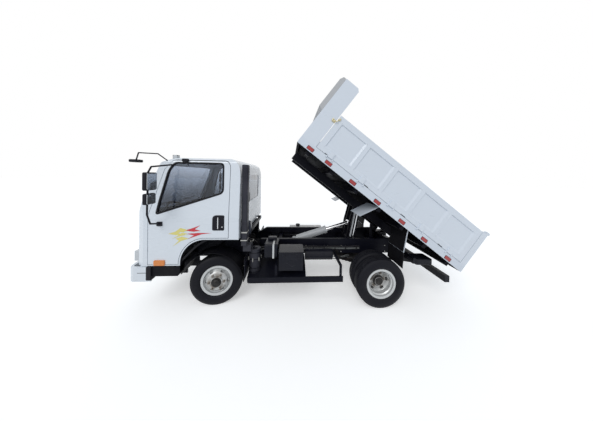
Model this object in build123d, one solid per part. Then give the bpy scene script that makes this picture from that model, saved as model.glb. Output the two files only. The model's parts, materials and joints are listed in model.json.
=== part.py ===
"""Light two-axle dump truck with a forward-control cab, twin rear tyres and its tipping bed raised.

Millimetres. +X runs to the rear, +Y to the truck's right, +Z up. Stations along the truck are
counted from the front axle while the pieces are made; the last section moves everything so that
the origin lies on the ground under the middle of the truck.
"""
from build123d import *
import math
import os

# Clearance of whatever moves
RUN = 5.0

# Wheels and axles
WHEELBASE = 2600.0
TYRE_R = 387.5
TYRE_WIDTH = 202.0
RIM_LIP_R = 232.0
RIM_SEAT_R = 207.0
RIM_HALF = 80.0
RIM_WALL = 8.0
DISC_OFFSET = 103.0
FRONT_WHEEL_Y = 720.0
TWIN_Y = 755.0
TWIN_SPACING = 230.0
WHEEL_Z = TYRE_R
KINGPIN_Y = 590.0
STEER_LIMIT = 32.0
STEER_REST = 10.6
STEER_RATIO = 0.9

# Chassis frame
RAIL_Y = 375.0
RAIL_HEIGHT = 170.0
RAIL_FLANGE = 62.0
RAIL_WALL = 7.0
RAIL_TOP = 790.0
RAIL_FRONT = -880.0
REAR_OVERHANG = 590.0
RAIL_REAR = WHEELBASE + REAR_OVERHANG
SUB_HEIGHT = 95.0
SUB_FRONT = 640.0
SUB_REAR = RAIL_REAR - 155.0

# Cab
CAB_FRONT = -1100.0
CAB_REAR = 400.0
CAB_HALF = 930.0
CAB_ROOF_HALF = 865.0
CAB_SILL_Z = 700.0
CAB_BELT_Z = 1400.0
CAB_ROOF_Z = 2300.0
CAB_WALL = 45.0
ARCH_FRONT = -440.0
ARCH_TOP = 1080.0
ARCH_CORNER_R = 350.0
DOOR_FRONT = -888.0
DOOR_REAR = 245.0
DOOR_BOTTOM = 722.0
DOOR_GAP = 8.0
GLASS = 6.0
CAB_PIVOT_X = -905.0
CAB_PIVOT_Z = 655.0

# Tipping bed, drawn lowered and then raised about its rear pin
BED_ANGLE = 37.0
PIN_X = RAIL_REAR - 80.0
PIN_Z = 870.0
CAB_TO_BED = 208.0
BED_FRONT = CAB_REAR + CAB_TO_BED
BED_PAST_PIN = 748.0
BED_LENGTH = PIN_X + BED_PAST_PIN - BED_FRONT
BED_HALF = 1010.0
BED_EDGE_Z = 1090.0
BED_RAIL_HEIGHT = 112.0
BED_SIDE_HEIGHT = 585.0
BED_WALL = 42.0
FLOOR_BEVEL = 2.0
BED_FLOOR = 8.0
HEADBOARD_HEIGHT = 1190.0
WING_LENGTH = 262.0
SNORKEL_REAR = CAB_REAR + 105.0
VISOR_X = SNORKEL_REAR + 5 * RUN
VISOR_FOOT = 1692.0
POST_LENGTH = 95.0
SIDE_PANELS = 5
SILL_Y = 365.0
SILL_WIDTH = 65.0
SILL_BOTTOM = 893.0
SILL_HEIGHT = 137.0


def block(x0, x1, y0, y1, z0, z1):
    """A box between two corners."""
    return (Pos((x0 + x1) / 2, (y0 + y1) / 2, (z0 + z1) / 2) * Box(x1 - x0, y1 - y0, z1 - z0)).solid()


def rod(start, end, radius):
    """A round bar between two points."""
    a, b = Vector(*start), Vector(*end)
    way = b - a
    return (Plane(origin=a, z_dir=way) * extrude(Circle(radius), way.length)).solid()


def side_profile(points, radii=None):
    """A closed outline in side view, as (x, z) corners, some of them rounded."""
    face = make_face(Polyline(*points, close=True))
    for index, radius in (radii or {}).items():
        corner = Vector(points[index][0], points[index][1])
        near = sorted(face.vertices(), key=lambda v: (Vector(v.X, v.Y) - corner).length)
        face = fillet(near[0], radius)
    return face


def across(face, y0, y1):
    """A side-view outline carried across the truck from y0 to y1."""
    return (Pos(0, y0, 0) * extrude(Plane.XZ * face, -(y1 - y0))).solid()


def lengthwise(face, x0, x1):
    """A front-view outline in (y, z), carried along the truck from x0 to x1."""
    return (Pos(x0, 0, 0) * extrude(Plane.YZ * face, x1 - x0)).solid()


def right(shape):
    """The mirror image, on the truck's right, of a piece made on its left."""
    if isinstance(shape, list):
        return [right(piece) for piece in shape]
    return shape.mirror(Plane.XZ)


def flat(shapes):
    """All the solids in shapes, lists of shapes and compounds, in one list."""
    found = []
    for shape in shapes:
        found += flat(shape) if isinstance(shape, (list, tuple)) else list(shape.solids())
    return found


def join(*shapes):
    """One solid out of several that touch; a list when they stay apart."""
    pieces = flat(shapes)
    solids = pieces[0].fuse(*pieces[1:]).clean().solids() if len(pieces) > 1 else pieces
    return solids[0] if len(solids) == 1 else list(solids)


def cut(shape, *tools):
    """Shape with the tools taken away; a list when it falls into several solids."""
    tool_solids = flat(tools)
    solids = []
    for piece in flat([shape]):
        left = piece.cut(*tool_solids)
        for part in (left if isinstance(left, (list, tuple)) else [left]):
            solids += part.clean().solids()
    return solids[0] if len(solids) == 1 else solids


def common(shape, *tools):
    """What shape and all of the tools share."""
    result = shape
    for tool in tools:
        result = result.intersect(tool)
        solids = flat(result) if isinstance(result, (list, tuple)) else result.solids()
        result = solids[0]
    return result


nodes = {}


def node(name, *shapes):
    """Records one named piece, which may hold several solids that do not touch."""
    solids = flat(shapes)
    nodes[name] = Compound(children=solids) if len(solids) > 1 else solids[0]


# Wheels: steel disc wheels with a dished disc, six hand holes and six nuts
HAND_HOLES = 6
HAND_HOLE_R = 150.0
STUD_CIRCLE_R = 111.0
HUB_R = 84.0
SPINDLE_R = 36.0
DRUM_R = 160.0


def rim_section():
    """Half of the rim: outer lip to inner lip, with a well, as (radius, axial)."""
    seat, lip, edge, well = RIM_SEAT_R, RIM_LIP_R, RIM_HALF, 188.0
    outer = [(lip, -edge), (lip, -edge + 10), (seat, -edge + 10), (seat - 3, -40), (well, -28)]
    outer += [(r, -y) for r, y in reversed(outer)]
    inner = [(seat - RIM_WALL, edge - 3), (seat - 12, 46), (well - RIM_WALL, 32)]
    inner += [(r, -y) for r, y in reversed(inner)]
    return make_face(Polyline(*outer, *inner, close=True))


def disc_section():
    """The dished disc: a flat mounting ring, a slope with the hand holes, and the weld to the well."""
    face, well = -DISC_OFFSET, 184.0
    front = [(60, face), (127, face), (150, face + 18), (well, face + 60), (well, face + 72)]
    back = [(well - 9, face + 72), (143, face + 28), (123, face + 10), (60, face + 10)]
    return make_face(Polyline(*front, *back, close=True))


def wheel_disc():
    """One wheel with its disc towards -Y, turning about the Y axis."""
    hole = (Rot(90, 0, 0) * Pos(0, 0, -45) * extrude(SlotOverall(62, 26), 90)).solid()
    holes = [Rot(0, 360 / HAND_HOLES * (i + 0.5), 0) * Pos(0, 32 - DISC_OFFSET, HAND_HOLE_R + 6) * hole
             for i in range(HAND_HOLES)]
    return cut(join(revolve(rim_section(), Axis.Y), revolve(disc_section(), Axis.Y)), *holes)


def wheel_nuts(face_y, height=20.0):
    return [Rot(0, 60 * i, 0) * rod((STUD_CIRCLE_R, face_y + 1, 0), (STUD_CIRCLE_R, face_y - height, 0), 15)
            for i in range(6)]


def tyre_section():
    """Bead, sidewall, shoulder and tread of one tyre, as (radius, axial)."""
    half, bead = TYRE_WIDTH / 2, RIM_HALF - 10.4
    seat, lip, tread = RIM_SEAT_R + 0.4, RIM_LIP_R + 0.6, TYRE_R
    left = [Line((seat, -bead), (lip, -bead)), Line((lip, -bead), (lip + 4, -bead - 12)),
            ThreePointArc((lip + 4, -bead - 12), (lip + 68, -half), (tread - 22, -half + 11)),
            ThreePointArc((tread - 22, -half + 11), (tread - 6, -half + 20), (tread - 1, -half + 34)),
            Line((tread - 1, -half + 34), (tread, 0))]
    mirrored = [e.mirror(Plane.XZ) for e in left]
    return make_face(left + mirrored + [Line((seat, bead), (seat, -bead))])


tyre = revolve(tyre_section(), Axis.Y).solid()


def front_wheel():
    """Rim, hub, nuts and brake drum of the left front wheel, its centre at the origin."""
    hub = rod((0, -DISC_OFFSET - 22, 0), (0, -40, 0), HUB_R)
    cap = rod((0, -DISC_OFFSET - 40, 0), (0, -DISC_OFFSET - 20, 0), 52)
    drum = rod((0, -52, 0), (0, 62, 0), DRUM_R)
    wheel = join(wheel_disc(), hub, cap, drum, wheel_nuts(-DISC_OFFSET))
    return cut(wheel, rod((0, -66, 0), (0, 70, 0), SPINDLE_R + 0.05))


def twin_wheels():
    """Rims, hub, nuts and drum of the left rear pair, centred between the two tyres."""
    half = TWIN_SPACING / 2
    outer = Pos(0, -half, 0) * wheel_disc().mirror(Plane.XZ)
    inner = Pos(0, half, 0) * wheel_disc()
    plate = rod((0, -DISC_OFFSET + half - 1, 0), (0, DISC_OFFSET - half + 1, 0), 126)
    hub = rod((0, -92, 0), (0, 20, 0), HUB_R)
    cap = rod((0, -122, 0), (0, -90, 0), 66)
    drum = rod((0, 22, 0), (0, 150, 0), DRUM_R)
    wheel = join(outer, inner, plate, hub, cap, drum, wheel_nuts(half - DISC_OFFSET - 30, 18))
    return cut(wheel, rod((0, -70, 0), (0, 160, 0), SPINDLE_R + 0.05))


front_left = Pos(0, -FRONT_WHEEL_Y, WHEEL_Z)
rear_left = Pos(WHEELBASE, -TWIN_Y, WHEEL_Z)
half_twin = TWIN_SPACING / 2
front_rim = front_left * front_wheel()
front_tyre = front_left * tyre
rear_rims = rear_left * twin_wheels()
rear_tyres = [rear_left * Pos(0, -half_twin, 0) * tyre, rear_left * Pos(0, half_twin, 0) * tyre]


def steered(shape, side):
    """A front wheel piece turned to the left as it stands, about the kingpin on its side."""
    y = side * KINGPIN_Y
    return Pos(0, y, 0) * Rot(0, 0, STEER_REST if side < 0 else STEER_REST * STEER_RATIO) * Pos(0, -y, 0) * shape


node("wheel_front_left", steered(front_rim, -1))
node("tyre_front_left", steered(front_tyre, -1))
node("wheel_front_right", steered(right(front_rim), 1))
node("tyre_front_right", steered(right(front_tyre), 1))
node("wheels_rear_left", rear_rims)
node("tyres_rear_left", *rear_tyres)
node("wheels_rear_right", right(rear_rims))
node("tyres_rear_right", *[right(t) for t in rear_tyres])

# Steering knuckles: kingpin, stub axle, backing plate and a steering arm
KINGPIN_R = 19.0
KNUCKLE_Z0, KNUCKLE_Z1 = WHEEL_Z - 75, WHEEL_Z + 75
BACKING_Y = FRONT_WHEEL_Y - 62 - RUN


def knuckle():
    inner, outer = -KINGPIN_Y - 40, -KINGPIN_Y + 24
    pin = rod((0, -KINGPIN_Y, KNUCKLE_Z0), (0, -KINGPIN_Y, KNUCKLE_Z1), KINGPIN_R)
    yoke = block(-26, 26, -BACKING_Y + 12, inner, KNUCKLE_Z0, KNUCKLE_Z1)
    lower = block(-26, 26, inner, outer, KNUCKLE_Z0, KNUCKLE_Z0 + 22)
    upper = block(-26, 26, inner, outer, KNUCKLE_Z1 - 22, KNUCKLE_Z1)
    plate = rod((0, -BACKING_Y, WHEEL_Z), (0, -BACKING_Y + 14, WHEEL_Z), DRUM_R - 8)
    arm = block(20, 122, -KINGPIN_Y - 40, -KINGPIN_Y - 18, KNUCKLE_Z0, KNUCKLE_Z0 + 22)
    spindle = rod((0, -BACKING_Y, WHEEL_Z), (0, -FRONT_WHEEL_Y - 60, WHEEL_Z), SPINDLE_R)
    return join(pin, yoke, lower, upper, plate, arm, spindle)


node("knuckle_left", steered(knuckle(), -1))
node("knuckle_right", steered(right(knuckle()), 1))

# Front axle: a dropped beam with an eye round each kingpin
EYE_HALF = KNUCKLE_Z1 - 22 - RUN - WHEEL_Z


def front_axle():
    drop = 40.0
    web = [(-KINGPIN_Y + 20, WHEEL_Z - 42), (-495, WHEEL_Z - 42 - drop), (495, WHEEL_Z - 42 - drop),
           (KINGPIN_Y - 20, WHEEL_Z - 42), (KINGPIN_Y - 20, WHEEL_Z + 42), (495, WHEEL_Z + 42 - drop),
           (-495, WHEEL_Z + 42 - drop), (-KINGPIN_Y + 20, WHEEL_Z + 42)]
    beam = lengthwise(make_face(Polyline(*web, close=True)), -30, 30)
    eyes = [rod((0, y, WHEEL_Z - EYE_HALF), (0, y, WHEEL_Z + EYE_HALF), 34) for y in (-KINGPIN_Y, KINGPIN_Y)]
    bores = [rod((0, y, WHEEL_Z - 90), (0, y, WHEEL_Z + 90), KINGPIN_R + 0.05)
             for y in (-KINGPIN_Y, KINGPIN_Y)]
    grooves = [block(x, x + 12, -380, 380, WHEEL_Z - 66, WHEEL_Z - 12) for x in (-30, 18)]
    return cut(join(beam, eyes), bores, grooves)


node("front_axle", front_axle())

# Rear axle: housing tubes, round differential and its nose
DIFF_R = 150.0
AXLE_END = TWIN_Y - 150 - RUN
tubes = rod((WHEELBASE, -AXLE_END, WHEEL_Z), (WHEELBASE, AXLE_END, WHEEL_Z), 58)
bowl = (Pos(WHEELBASE, 0, WHEEL_Z) * Sphere(DIFF_R)).solid()
nose = rod((WHEELBASE - 230, 0, WHEEL_Z + 30), (WHEELBASE - 60, 0, WHEEL_Z + 10), 62)
flanges = [rod((WHEELBASE, side * (AXLE_END - 22), WHEEL_Z), (WHEELBASE, side * AXLE_END, WHEEL_Z), 120)
           for side in (-1, 1)]
spindles = [rod((WHEELBASE, side * (AXLE_END - 2), WHEEL_Z), (WHEELBASE, side * (TWIN_Y + 64), WHEEL_Z), SPINDLE_R)
            for side in (-1, 1)]
node("rear_axle", join(tubes, bowl, nose, flanges, spindles))

# Leaf springs: a curved pack per wheel, from its front eye to its rear shackle
FRONT_SPRING_Y = 365.0
REAR_SPRING_Y = 452.0
SPRING_WIDTH = 66.0


def leaf_pack(axle_x, y, half_length, seat_z, eye_z, leaves, thick):
    """A stack of arched leaves, each shorter than the one above it."""
    solids = []
    for i in range(leaves):
        reach = half_length * (1 - i / (leaves + 1.5))
        rise = (eye_z - seat_z) * (reach / half_length) ** 2
        low = seat_z + (leaves - 1 - i) * thick
        arc = ThreePointArc((axle_x - reach, low + rise), (axle_x, low), (axle_x + reach, low + rise))
        top = ThreePointArc((axle_x + reach, low + rise + thick), (axle_x, low + thick),
                            (axle_x - reach, low + rise + thick))
        leaf = make_face([arc, Line(arc @ 1, top @ 0), top, Line(top @ 1, arc @ 0)])
        solids.append(across(leaf, -y - SPRING_WIDTH / 2, -y + SPRING_WIDTH / 2))
    return solids


def spring(axle_x, y, half_length, seat_z, eye_z, leaves, thick):
    """The pack with its eyes and a hanger at each end, under the rail or on its outer face."""
    solids = leaf_pack(axle_x, y, half_length, seat_z, eye_z, leaves, thick)
    top_leaf = eye_z + (leaves - 1) * thick
    y0, y1 = -y - SPRING_WIDTH / 2, -y + SPRING_WIDTH / 2
    under = RAIL_TOP - RAIL_HEIGHT
    for end in (-1, 1):
        x = axle_x + end * half_length
        x0, x1 = x - 26, x + 26
        solids.append(rod((x, y0, top_leaf + 6), (x, y1, top_leaf + 6), 24))
        solids.append(block(x0, x1, y0 - 8, y0, top_leaf - 10, under - 8))
        solids.append(block(x0, x1, y1, y1 + 8, top_leaf - 10, under - 8))
        if y < RAIL_Y:
            solids.append(block(x0, x1, y0 - 8, y1 + 8, under - 8, under))
        else:
            solids.append(block(x0, x1, -RAIL_Y - 8, -RAIL_Y, under - 8, RAIL_TOP - 20))
            solids.append(block(x0, x1, y0 - 8, -RAIL_Y - 8, under - 8, under + 10))
    return solids


FRONT_SEAT = WHEEL_Z + 2.0
REAR_SEAT = WHEEL_Z + 58.0 + 12
front_spring = join(spring(0, FRONT_SPRING_Y, 560, FRONT_SEAT, FRONT_SEAT + 90, 5, 9))
saddle = block(WHEELBASE - 60, WHEELBASE + 60, -REAR_SPRING_Y - 40, -REAR_SPRING_Y + 40,
               REAR_SEAT - 30, REAR_SEAT)
axle_hole = rod((WHEELBASE, -AXLE_END, WHEEL_Z), (WHEELBASE, 0, WHEEL_Z), 58)
rear_spring = join(spring(WHEELBASE, REAR_SPRING_Y, 560, REAR_SEAT, REAR_SEAT + 46, 7, 10),
                   cut(saddle, axle_hole))
node("leaf_springs", front_spring, right(front_spring), rear_spring, right(rear_spring))

# Chassis frame: two channel rails, pressed cross-members and the subframe that carries the bed
RAIL_BOTTOM = RAIL_TOP - RAIL_HEIGHT
RAIL_INNER = RAIL_Y - RAIL_FLANGE
WEB_INNER = RAIL_Y - RAIL_WALL
rail_web = block(RAIL_FRONT, RAIL_REAR, -RAIL_Y, -WEB_INNER, RAIL_BOTTOM, RAIL_TOP)
rail_top = block(RAIL_FRONT, RAIL_REAR, -WEB_INNER, -RAIL_INNER, RAIL_TOP - RAIL_WALL, RAIL_TOP)
rail_foot = block(RAIL_FRONT, RAIL_REAR, -WEB_INNER, -RAIL_INNER, RAIL_BOTTOM, RAIL_BOTTOM + RAIL_WALL)
rail = [rail_web, rail_top, rail_foot]

# Each row: station, depth along the truck, bottom, top
CROSS_COLUMNS = ("x", "depth", "z0", "z1")
CROSS_ROWS = [
    (-866.0, 60.0, 640.0, 770.0),
    (940.0, 60.0, 640.0, 770.0),
    (1130.0, 60.0, 632.0, 690.0),
    (RAIL_REAR - 990.0, 60.0, 632.0, 700.0),
    (RAIL_REAR - 290.0, 60.0, 640.0, 770.0),
    (RAIL_REAR - 70.0, 64.0, 640.0, 770.0),
]


def cross_member(x, depth, z0, z1):
    """A pressed channel between the rail webs, open to the rear."""
    web = block(x, x + 7, -WEB_INNER, WEB_INNER, z0, z1)
    upper = block(x + 7, x + depth, -WEB_INNER, WEB_INNER, z1 - 7, z1)
    lower = block(x + 7, x + depth, -WEB_INNER, WEB_INNER, z0, z0 + 7)
    return [web, upper, lower]


cross_members = [cross_member(**dict(zip(CROSS_COLUMNS, row))) for row in CROSS_ROWS]
node("frame", rail, right(rail), cross_members)

sub_rail = block(SUB_FRONT, SUB_REAR, -RAIL_Y, -RAIL_INNER, RAIL_TOP, RAIL_TOP + SUB_HEIGHT)
sub_nose = across(side_profile([(SUB_FRONT - 160, RAIL_TOP), (SUB_FRONT, RAIL_TOP),
                                (SUB_FRONT, RAIL_TOP + SUB_HEIGHT)]), -RAIL_Y, -RAIL_INNER)
clamps = [block(x, x + 60, -RAIL_Y - 9, -RAIL_Y, RAIL_TOP - 120, RAIL_TOP + SUB_HEIGHT - 12)
          for x in (780, 1290, 1800)]
node("subframe", sub_rail, sub_nose, clamps, right([sub_rail, sub_nose] + clamps))

# Rear hinge of the bed: a bracket on each rail end with a boss round the pin
PIN_R = 18.0
BOSS_R = 40.0
LUG_OUT, LUG_IN = 398.0, 332.0
bracket_lower = block(PIN_X - 60, PIN_X + 35, -RAIL_Y, -RAIL_INNER - 32, RAIL_TOP, PIN_Z - 20)
boss = rod((PIN_X, -392, PIN_Z), (PIN_X, -338, PIN_Z), BOSS_R)
pin = rod((PIN_X, -LUG_OUT - 26, PIN_Z), (PIN_X, -LUG_IN + 26, PIN_Z), PIN_R)
bracket = join(bracket_lower, boss, pin)

# Hoist: a double lift arm pushed by one cylinder, and a safety prop
HOIST_X, HOIST_Z = PIN_X - 760.0, 800.0
ARM_LENGTH = 710.0
ARM_REST = 100.7
ARM_RATIO = 2.64
EYE_RADIUS = 305.0
EYE_REST = 97.0
BARREL_X, BARREL_Z = PIN_X - 1860.0, 740.0
BARREL_LENGTH = 690.0
PROP_X, PROP_Z = PIN_X - 390.0, 800.0
PROP_LENGTH = 365.0
PROP_REST = 92.0
PROP_RATIO = 2.2


def at_angle(x, z, length, degrees):
    """The point at a length and an angle from (x, z), the angle counted from -X upwards."""
    return x - length * math.cos(math.radians(degrees)), z + length * math.sin(math.radians(degrees))


tip_x, tip_z = at_angle(HOIST_X, HOIST_Z, ARM_LENGTH, ARM_REST)
eye_x, eye_z = at_angle(HOIST_X, HOIST_Z, EYE_RADIUS, EYE_REST)


def arm_plate(y0, y1):
    """One tapered plate of the arm with a lug towards the cylinder's eye."""
    way = Vector(tip_x - HOIST_X, tip_z - HOIST_Z).normalized()
    side = Vector(way.Y, -way.X)
    foot, tip = Vector(HOIST_X, HOIST_Z), Vector(tip_x, tip_z)
    points = [foot - side * 52, foot + way * 330 - side * 62, tip - side * 36,
              tip + side * 36, foot + way * 330 + side * 62, foot + side * 52]
    plate = across(make_face(Polyline(*[(v.X, v.Y) for v in points], close=True)), y0, y1)
    rounds = [rod((HOIST_X, y0, HOIST_Z), (HOIST_X, y1, HOIST_Z), 52),
              rod((tip_x, y0, tip_z), (tip_x, y1, tip_z), 36)]
    return join(plate, rounds)


arm_mid = at_angle(HOIST_X, HOIST_Z, 500, ARM_REST)
arm_solids = [arm_plate(y0, y1) for y0, y1 in ((-238, -214), (-112, -90), (90, 112), (214, 238))]
arm_solids.append(rod((HOIST_X, -245, HOIST_Z), (HOIST_X, 245, HOIST_Z), 40))
for side in (-1, 1):
    arm_solids.append(rod((tip_x, side * 90, tip_z), (tip_x, side * 245, tip_z), 20))
    arm_solids.append(rod((tip_x, side * 118, tip_z), (tip_x, side * 208, tip_z), 30))
    arm_solids.append(rod((arm_mid[0], side * 100, arm_mid[1]), (arm_mid[0], side * 230, arm_mid[1]), 28))
    arm_solids.append(rod((eye_x, side * 74, eye_z), (eye_x, side * 112, eye_z), 24))
node("hoist_arm", cut(join(arm_solids), rod((HOIST_X, -300, HOIST_Z), (HOIST_X, 300, HOIST_Z), 22.05)))

way = Vector(eye_x - BARREL_X, eye_z - BARREL_Z).normalized()


def on_cylinder(distance, y=0.0):
    """A point on the cylinder's axis, counted from the pin at its foot."""
    return BARREL_X + way.X * distance, y, BARREL_Z + way.Y * distance


rod_reach = math.hypot(eye_x - BARREL_X, eye_z - BARREL_Z)
ROD_R = 36.0
barrel = join(rod(on_cylinder(60), on_cylinder(BARREL_LENGTH), 68),
              rod(on_cylinder(BARREL_LENGTH - 50), on_cylinder(BARREL_LENGTH), 76),
              rod(on_cylinder(0, -60), on_cylinder(0, 60), 46),
              rod(on_cylinder(0), on_cylinder(70), 40))
barrel = cut(barrel, rod(on_cylinder(110), on_cylinder(BARREL_LENGTH - 50), ROD_R + RUN + 1),
             rod(on_cylinder(110), on_cylinder(BARREL_LENGTH + 1), ROD_R + 0.05),
             rod(on_cylinder(0, -70), on_cylinder(0, 70), 22.05))
node("cylinder_barrel", barrel)
rod_back = rod_reach - 640
node("cylinder_rod", join(rod(on_cylinder(rod_back), on_cylinder(rod_reach - 20), ROD_R),
                          rod(on_cylinder(rod_reach, -68), on_cylinder(rod_reach, 68), 46)))


def pin_mount(x, z, y_half, r=22.0, thick=18.0):
    """A shaft between two brackets on the inner faces of the subframe or the rails."""
    shaft = rod((x, -y_half, z), (x, y_half, z), r)
    cheeks = [block(x - 45, x + 45, side * y_half - thick / 2, side * y_half + thick / 2, z - 55, z + 60)
              for side in (-1, 1)]
    return join(shaft, cheeks)


hoist_shaft = pin_mount(HOIST_X, HOIST_Z, RAIL_INNER - 9)
barrel_beam = block(BARREL_X - 60, BARREL_X + 60, -WEB_INNER, WEB_INNER, 632, 668)
barrel_ears = [block(BARREL_X - 45, BARREL_X + 45, y0, y0 + 18, 668, BARREL_Z + 40) for y0 in (-84, 66)]
barrel_pin = rod((BARREL_X, -84, BARREL_Z), (BARREL_X, 84, BARREL_Z), 22)
prop_shaft = rod((PROP_X, -RAIL_INNER, PROP_Z), (PROP_X, -RAIL_INNER + 54, PROP_Z), 14)
prop_plate = block(PROP_X - 35, PROP_X + 35, -RAIL_INNER, -RAIL_INNER + 8, PROP_Z + 2, PROP_Z + 60)
hoist_mounts = [hoist_shaft, join(barrel_beam, barrel_ears, barrel_pin), join(prop_shaft, prop_plate),
                bracket, right(bracket)]

prop_tip = at_angle(PROP_X, PROP_Z, PROP_LENGTH, PROP_REST)
prop_side = (Vector(prop_tip[0] - PROP_X, prop_tip[1] - PROP_Z).normalized() * 22).rotate(Axis.Z, -90)
prop_points = [(PROP_X - prop_side.X, PROP_Z - prop_side.Y), (prop_tip[0] - prop_side.X, prop_tip[1] - prop_side.Y),
               (prop_tip[0] + prop_side.X, prop_tip[1] + prop_side.Y), (PROP_X + prop_side.X, PROP_Z + prop_side.Y)]
prop_y0 = -RAIL_INNER + 18 + RUN
prop = join(across(make_face(Polyline(*prop_points, close=True)), prop_y0, prop_y0 + 22),
            rod((PROP_X, prop_y0, PROP_Z), (PROP_X, prop_y0 + 22, PROP_Z), 30))
node("safety_prop", cut(prop, rod((PROP_X, -320, PROP_Z), (PROP_X, -240, PROP_Z), 14.05)))

# Engine, gearbox and driveshaft under and behind the cab
engine = block(-420, 300, -270, 270, 560, 1040)
sump = block(-300, 200, -180, 180, 460, 560)
housing = block(300, 420, -210, 210, 530, 800)
GEARBOX_REAR = 740.0
gearbox = block(420, GEARBOX_REAR, -140, 140, 520, 700)
shaft = cut(rod((GEARBOX_REAR, 0, 580), (WHEELBASE - 220, 0, WHEEL_Z + 28.7), 42), nose)
node("gearbox", housing, gearbox, shaft)
mount_bar = block(180, 240, -WEB_INNER, -270, 640, 720)
front_bar = block(-700, -640, -WEB_INNER, WEB_INNER, 632, 690)
radiator = block(-640, -560, -300, 300, 640, 1040)
node("engine", engine, sump, mount_bar, right(mount_bar), front_bar, radiator)

# Boxes and bars hung on the rails
BATTERY = (1000.0, 1375.0, -905.0, -600.0, 590.0, 860.0)
battery = block(*BATTERY)
battery_arms = [block(x, x + 40, -600, -RAIL_Y, 650, 700) for x in (1020, 1240)]
node("battery_box", battery, battery_arms)
FUEL_LENGTH = 780.0
FUEL_FRONT = WHEELBASE - 670.0 - FUEL_LENGTH
fuel = Pos(FUEL_FRONT, 660, 640) * (Rot(0, 90, 0) * extrude(RectangleRounded(330, 400, 60), FUEL_LENGTH))
fuel_arms = [block(FUEL_FRONT + x, FUEL_FRONT + x + 50, RAIL_Y, 475, 640, 700) for x in (250, 550)]
node("fuel_tank", fuel.solid(), fuel_arms)
AIR_LENGTH = 470.0
AIR_FRONT = WHEELBASE - 700.0 - AIR_LENGTH
tanks = rod((AIR_FRONT, -560, 690), (AIR_FRONT + AIR_LENGTH, -560, 690), 92)
tank_arms = [block(AIR_FRONT + x, AIR_FRONT + x + 40, -470, -RAIL_Y, 660, 720) for x in (50, 270)]
node("air_tank", join(tanks, tank_arms))
muffler = rod((560, 560, 560), (1060, 560, 560), 95)
tail_pipe = rod((1060, 560, 520), (1116, 560, 490), 26)
muffler_arm = block(780, 830, RAIL_Y, 520, 628, 660)
node("muffler", join(muffler, tail_pipe, muffler_arm))
GUARD_REAR = WHEELBASE - 610.0
guard = across(side_profile([(540, 435), (GUARD_REAR, 435), (GUARD_REAR, 520), (540, 520)], {0: 30}), -955, -935)
guard_stations = (945, GUARD_REAR - 50)
guard_arms = [block(x, x + 36, -915, -RAIL_Y, 662, 690) for x in guard_stations]
guard_drops = [block(x, x + 36, -935, -915, 440, 690) for x in guard_stations]
guard_left = [cut(guard, guard_drops)] + guard_arms + guard_drops
node("side_guards", guard_left, right(guard_left))
UNDER_RUN_X = RAIL_REAR + 450.0
LEG_X = RAIL_REAR + 20.0
under_run = block(UNDER_RUN_X, UNDER_RUN_X + 75, -950, 950, 400, 500)
under_legs = [block(LEG_X, LEG_X + 40, side * 370 - 25, side * 370 + 25, 470, 735) for side in (-1, 1)]
under_ties = [across(side_profile([(LEG_X + 40, 475), (LEG_X + 40, 560), (UNDER_RUN_X, 495), (UNDER_RUN_X, 410)]),
                     side * 370 - 20, side * 370 + 20) for side in (-1, 1)]
node("under_run_bar", under_run, under_legs, under_ties)


# Cab: an outer and an inner hull, each the meeting of a side, a front and a plan outline
WINDSCREEN_FOOT = (-1078.0, 1400.0)
ROOF_NOSE = (-760.0, 2215.0)


def cab_hull(inset):
    """The cab's outer surface moved inwards by inset, as one solid."""
    edge = [(CAB_FRONT + 12, CAB_SILL_Z), (CAB_FRONT, 1050), WINDSCREEN_FOOT, ROOF_NOSE, (-560, CAB_ROOF_Z - 8),
            (-200, CAB_ROOF_Z), (CAB_REAR - 150, CAB_ROOF_Z - 8), (CAB_REAR - 34, CAB_ROOF_Z - 84),
            (CAB_REAR, CAB_ROOF_Z - 230), (CAB_REAR, CAB_SILL_Z)]
    side = side_profile(edge, {1: 60, 2: 90, 3: 70, 4: 160, 6: 160, 7: 120, 8: 300})
    half = [(CAB_HALF, CAB_SILL_Z), (CAB_HALF, CAB_BELT_Z), (CAB_ROOF_HALF, CAB_ROOF_Z - 60),
            (CAB_ROOF_HALF - 70, CAB_ROOF_Z - 10), (0, CAB_ROOF_Z + 4)]
    whole = half + [(-y, z) for y, z in reversed(half[:-1])]
    front = side_profile(whole, {2: 50, 3: 50, 5: 50, 6: 50})
    nose = CAB_FRONT - 6
    plan_half = [(nose, 0), (nose + 8, CAB_HALF - 190), (nose + 50, CAB_HALF - 45), (nose + 150, CAB_HALF),
                 (CAB_REAR + 1, CAB_HALF)]
    plan_points = plan_half + [(x, -y) for x, y in reversed(plan_half[1:])]
    plan = side_profile(plan_points, {1: 90, 2: 70, 7: 70, 8: 90})
    if inset:
        side, front, plan = [offset(f, -inset, kind=Kind.INTERSECTION) for f in (side, front, plan)]
    body = across(side, -1000, 1000)
    body = common(body, lengthwise(front, -1300, 600), (Pos(0, 0, 600) * extrude(plan, 1800)).solid())
    return body


outer = cab_hull(0)
inner = cab_hull(CAB_WALL)
inner_deep = join(inner, common(block(-1300, 500, -1000, 1000, 600, CAB_SILL_Z + CAB_WALL + 2),
                                Pos(0, 0, -CAB_WALL - 4) * inner))


def arch_outline(margin):
    """The wheel opening seen from the side, grown by a margin; open below and behind."""
    x0, z1, r = ARCH_FRONT - margin, ARCH_TOP + margin, ARCH_CORNER_R + margin
    corners = [(x0, 400), (x0, z1), (900, z1), (900, 400)]
    return side_profile(corners, {1: r})


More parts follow.
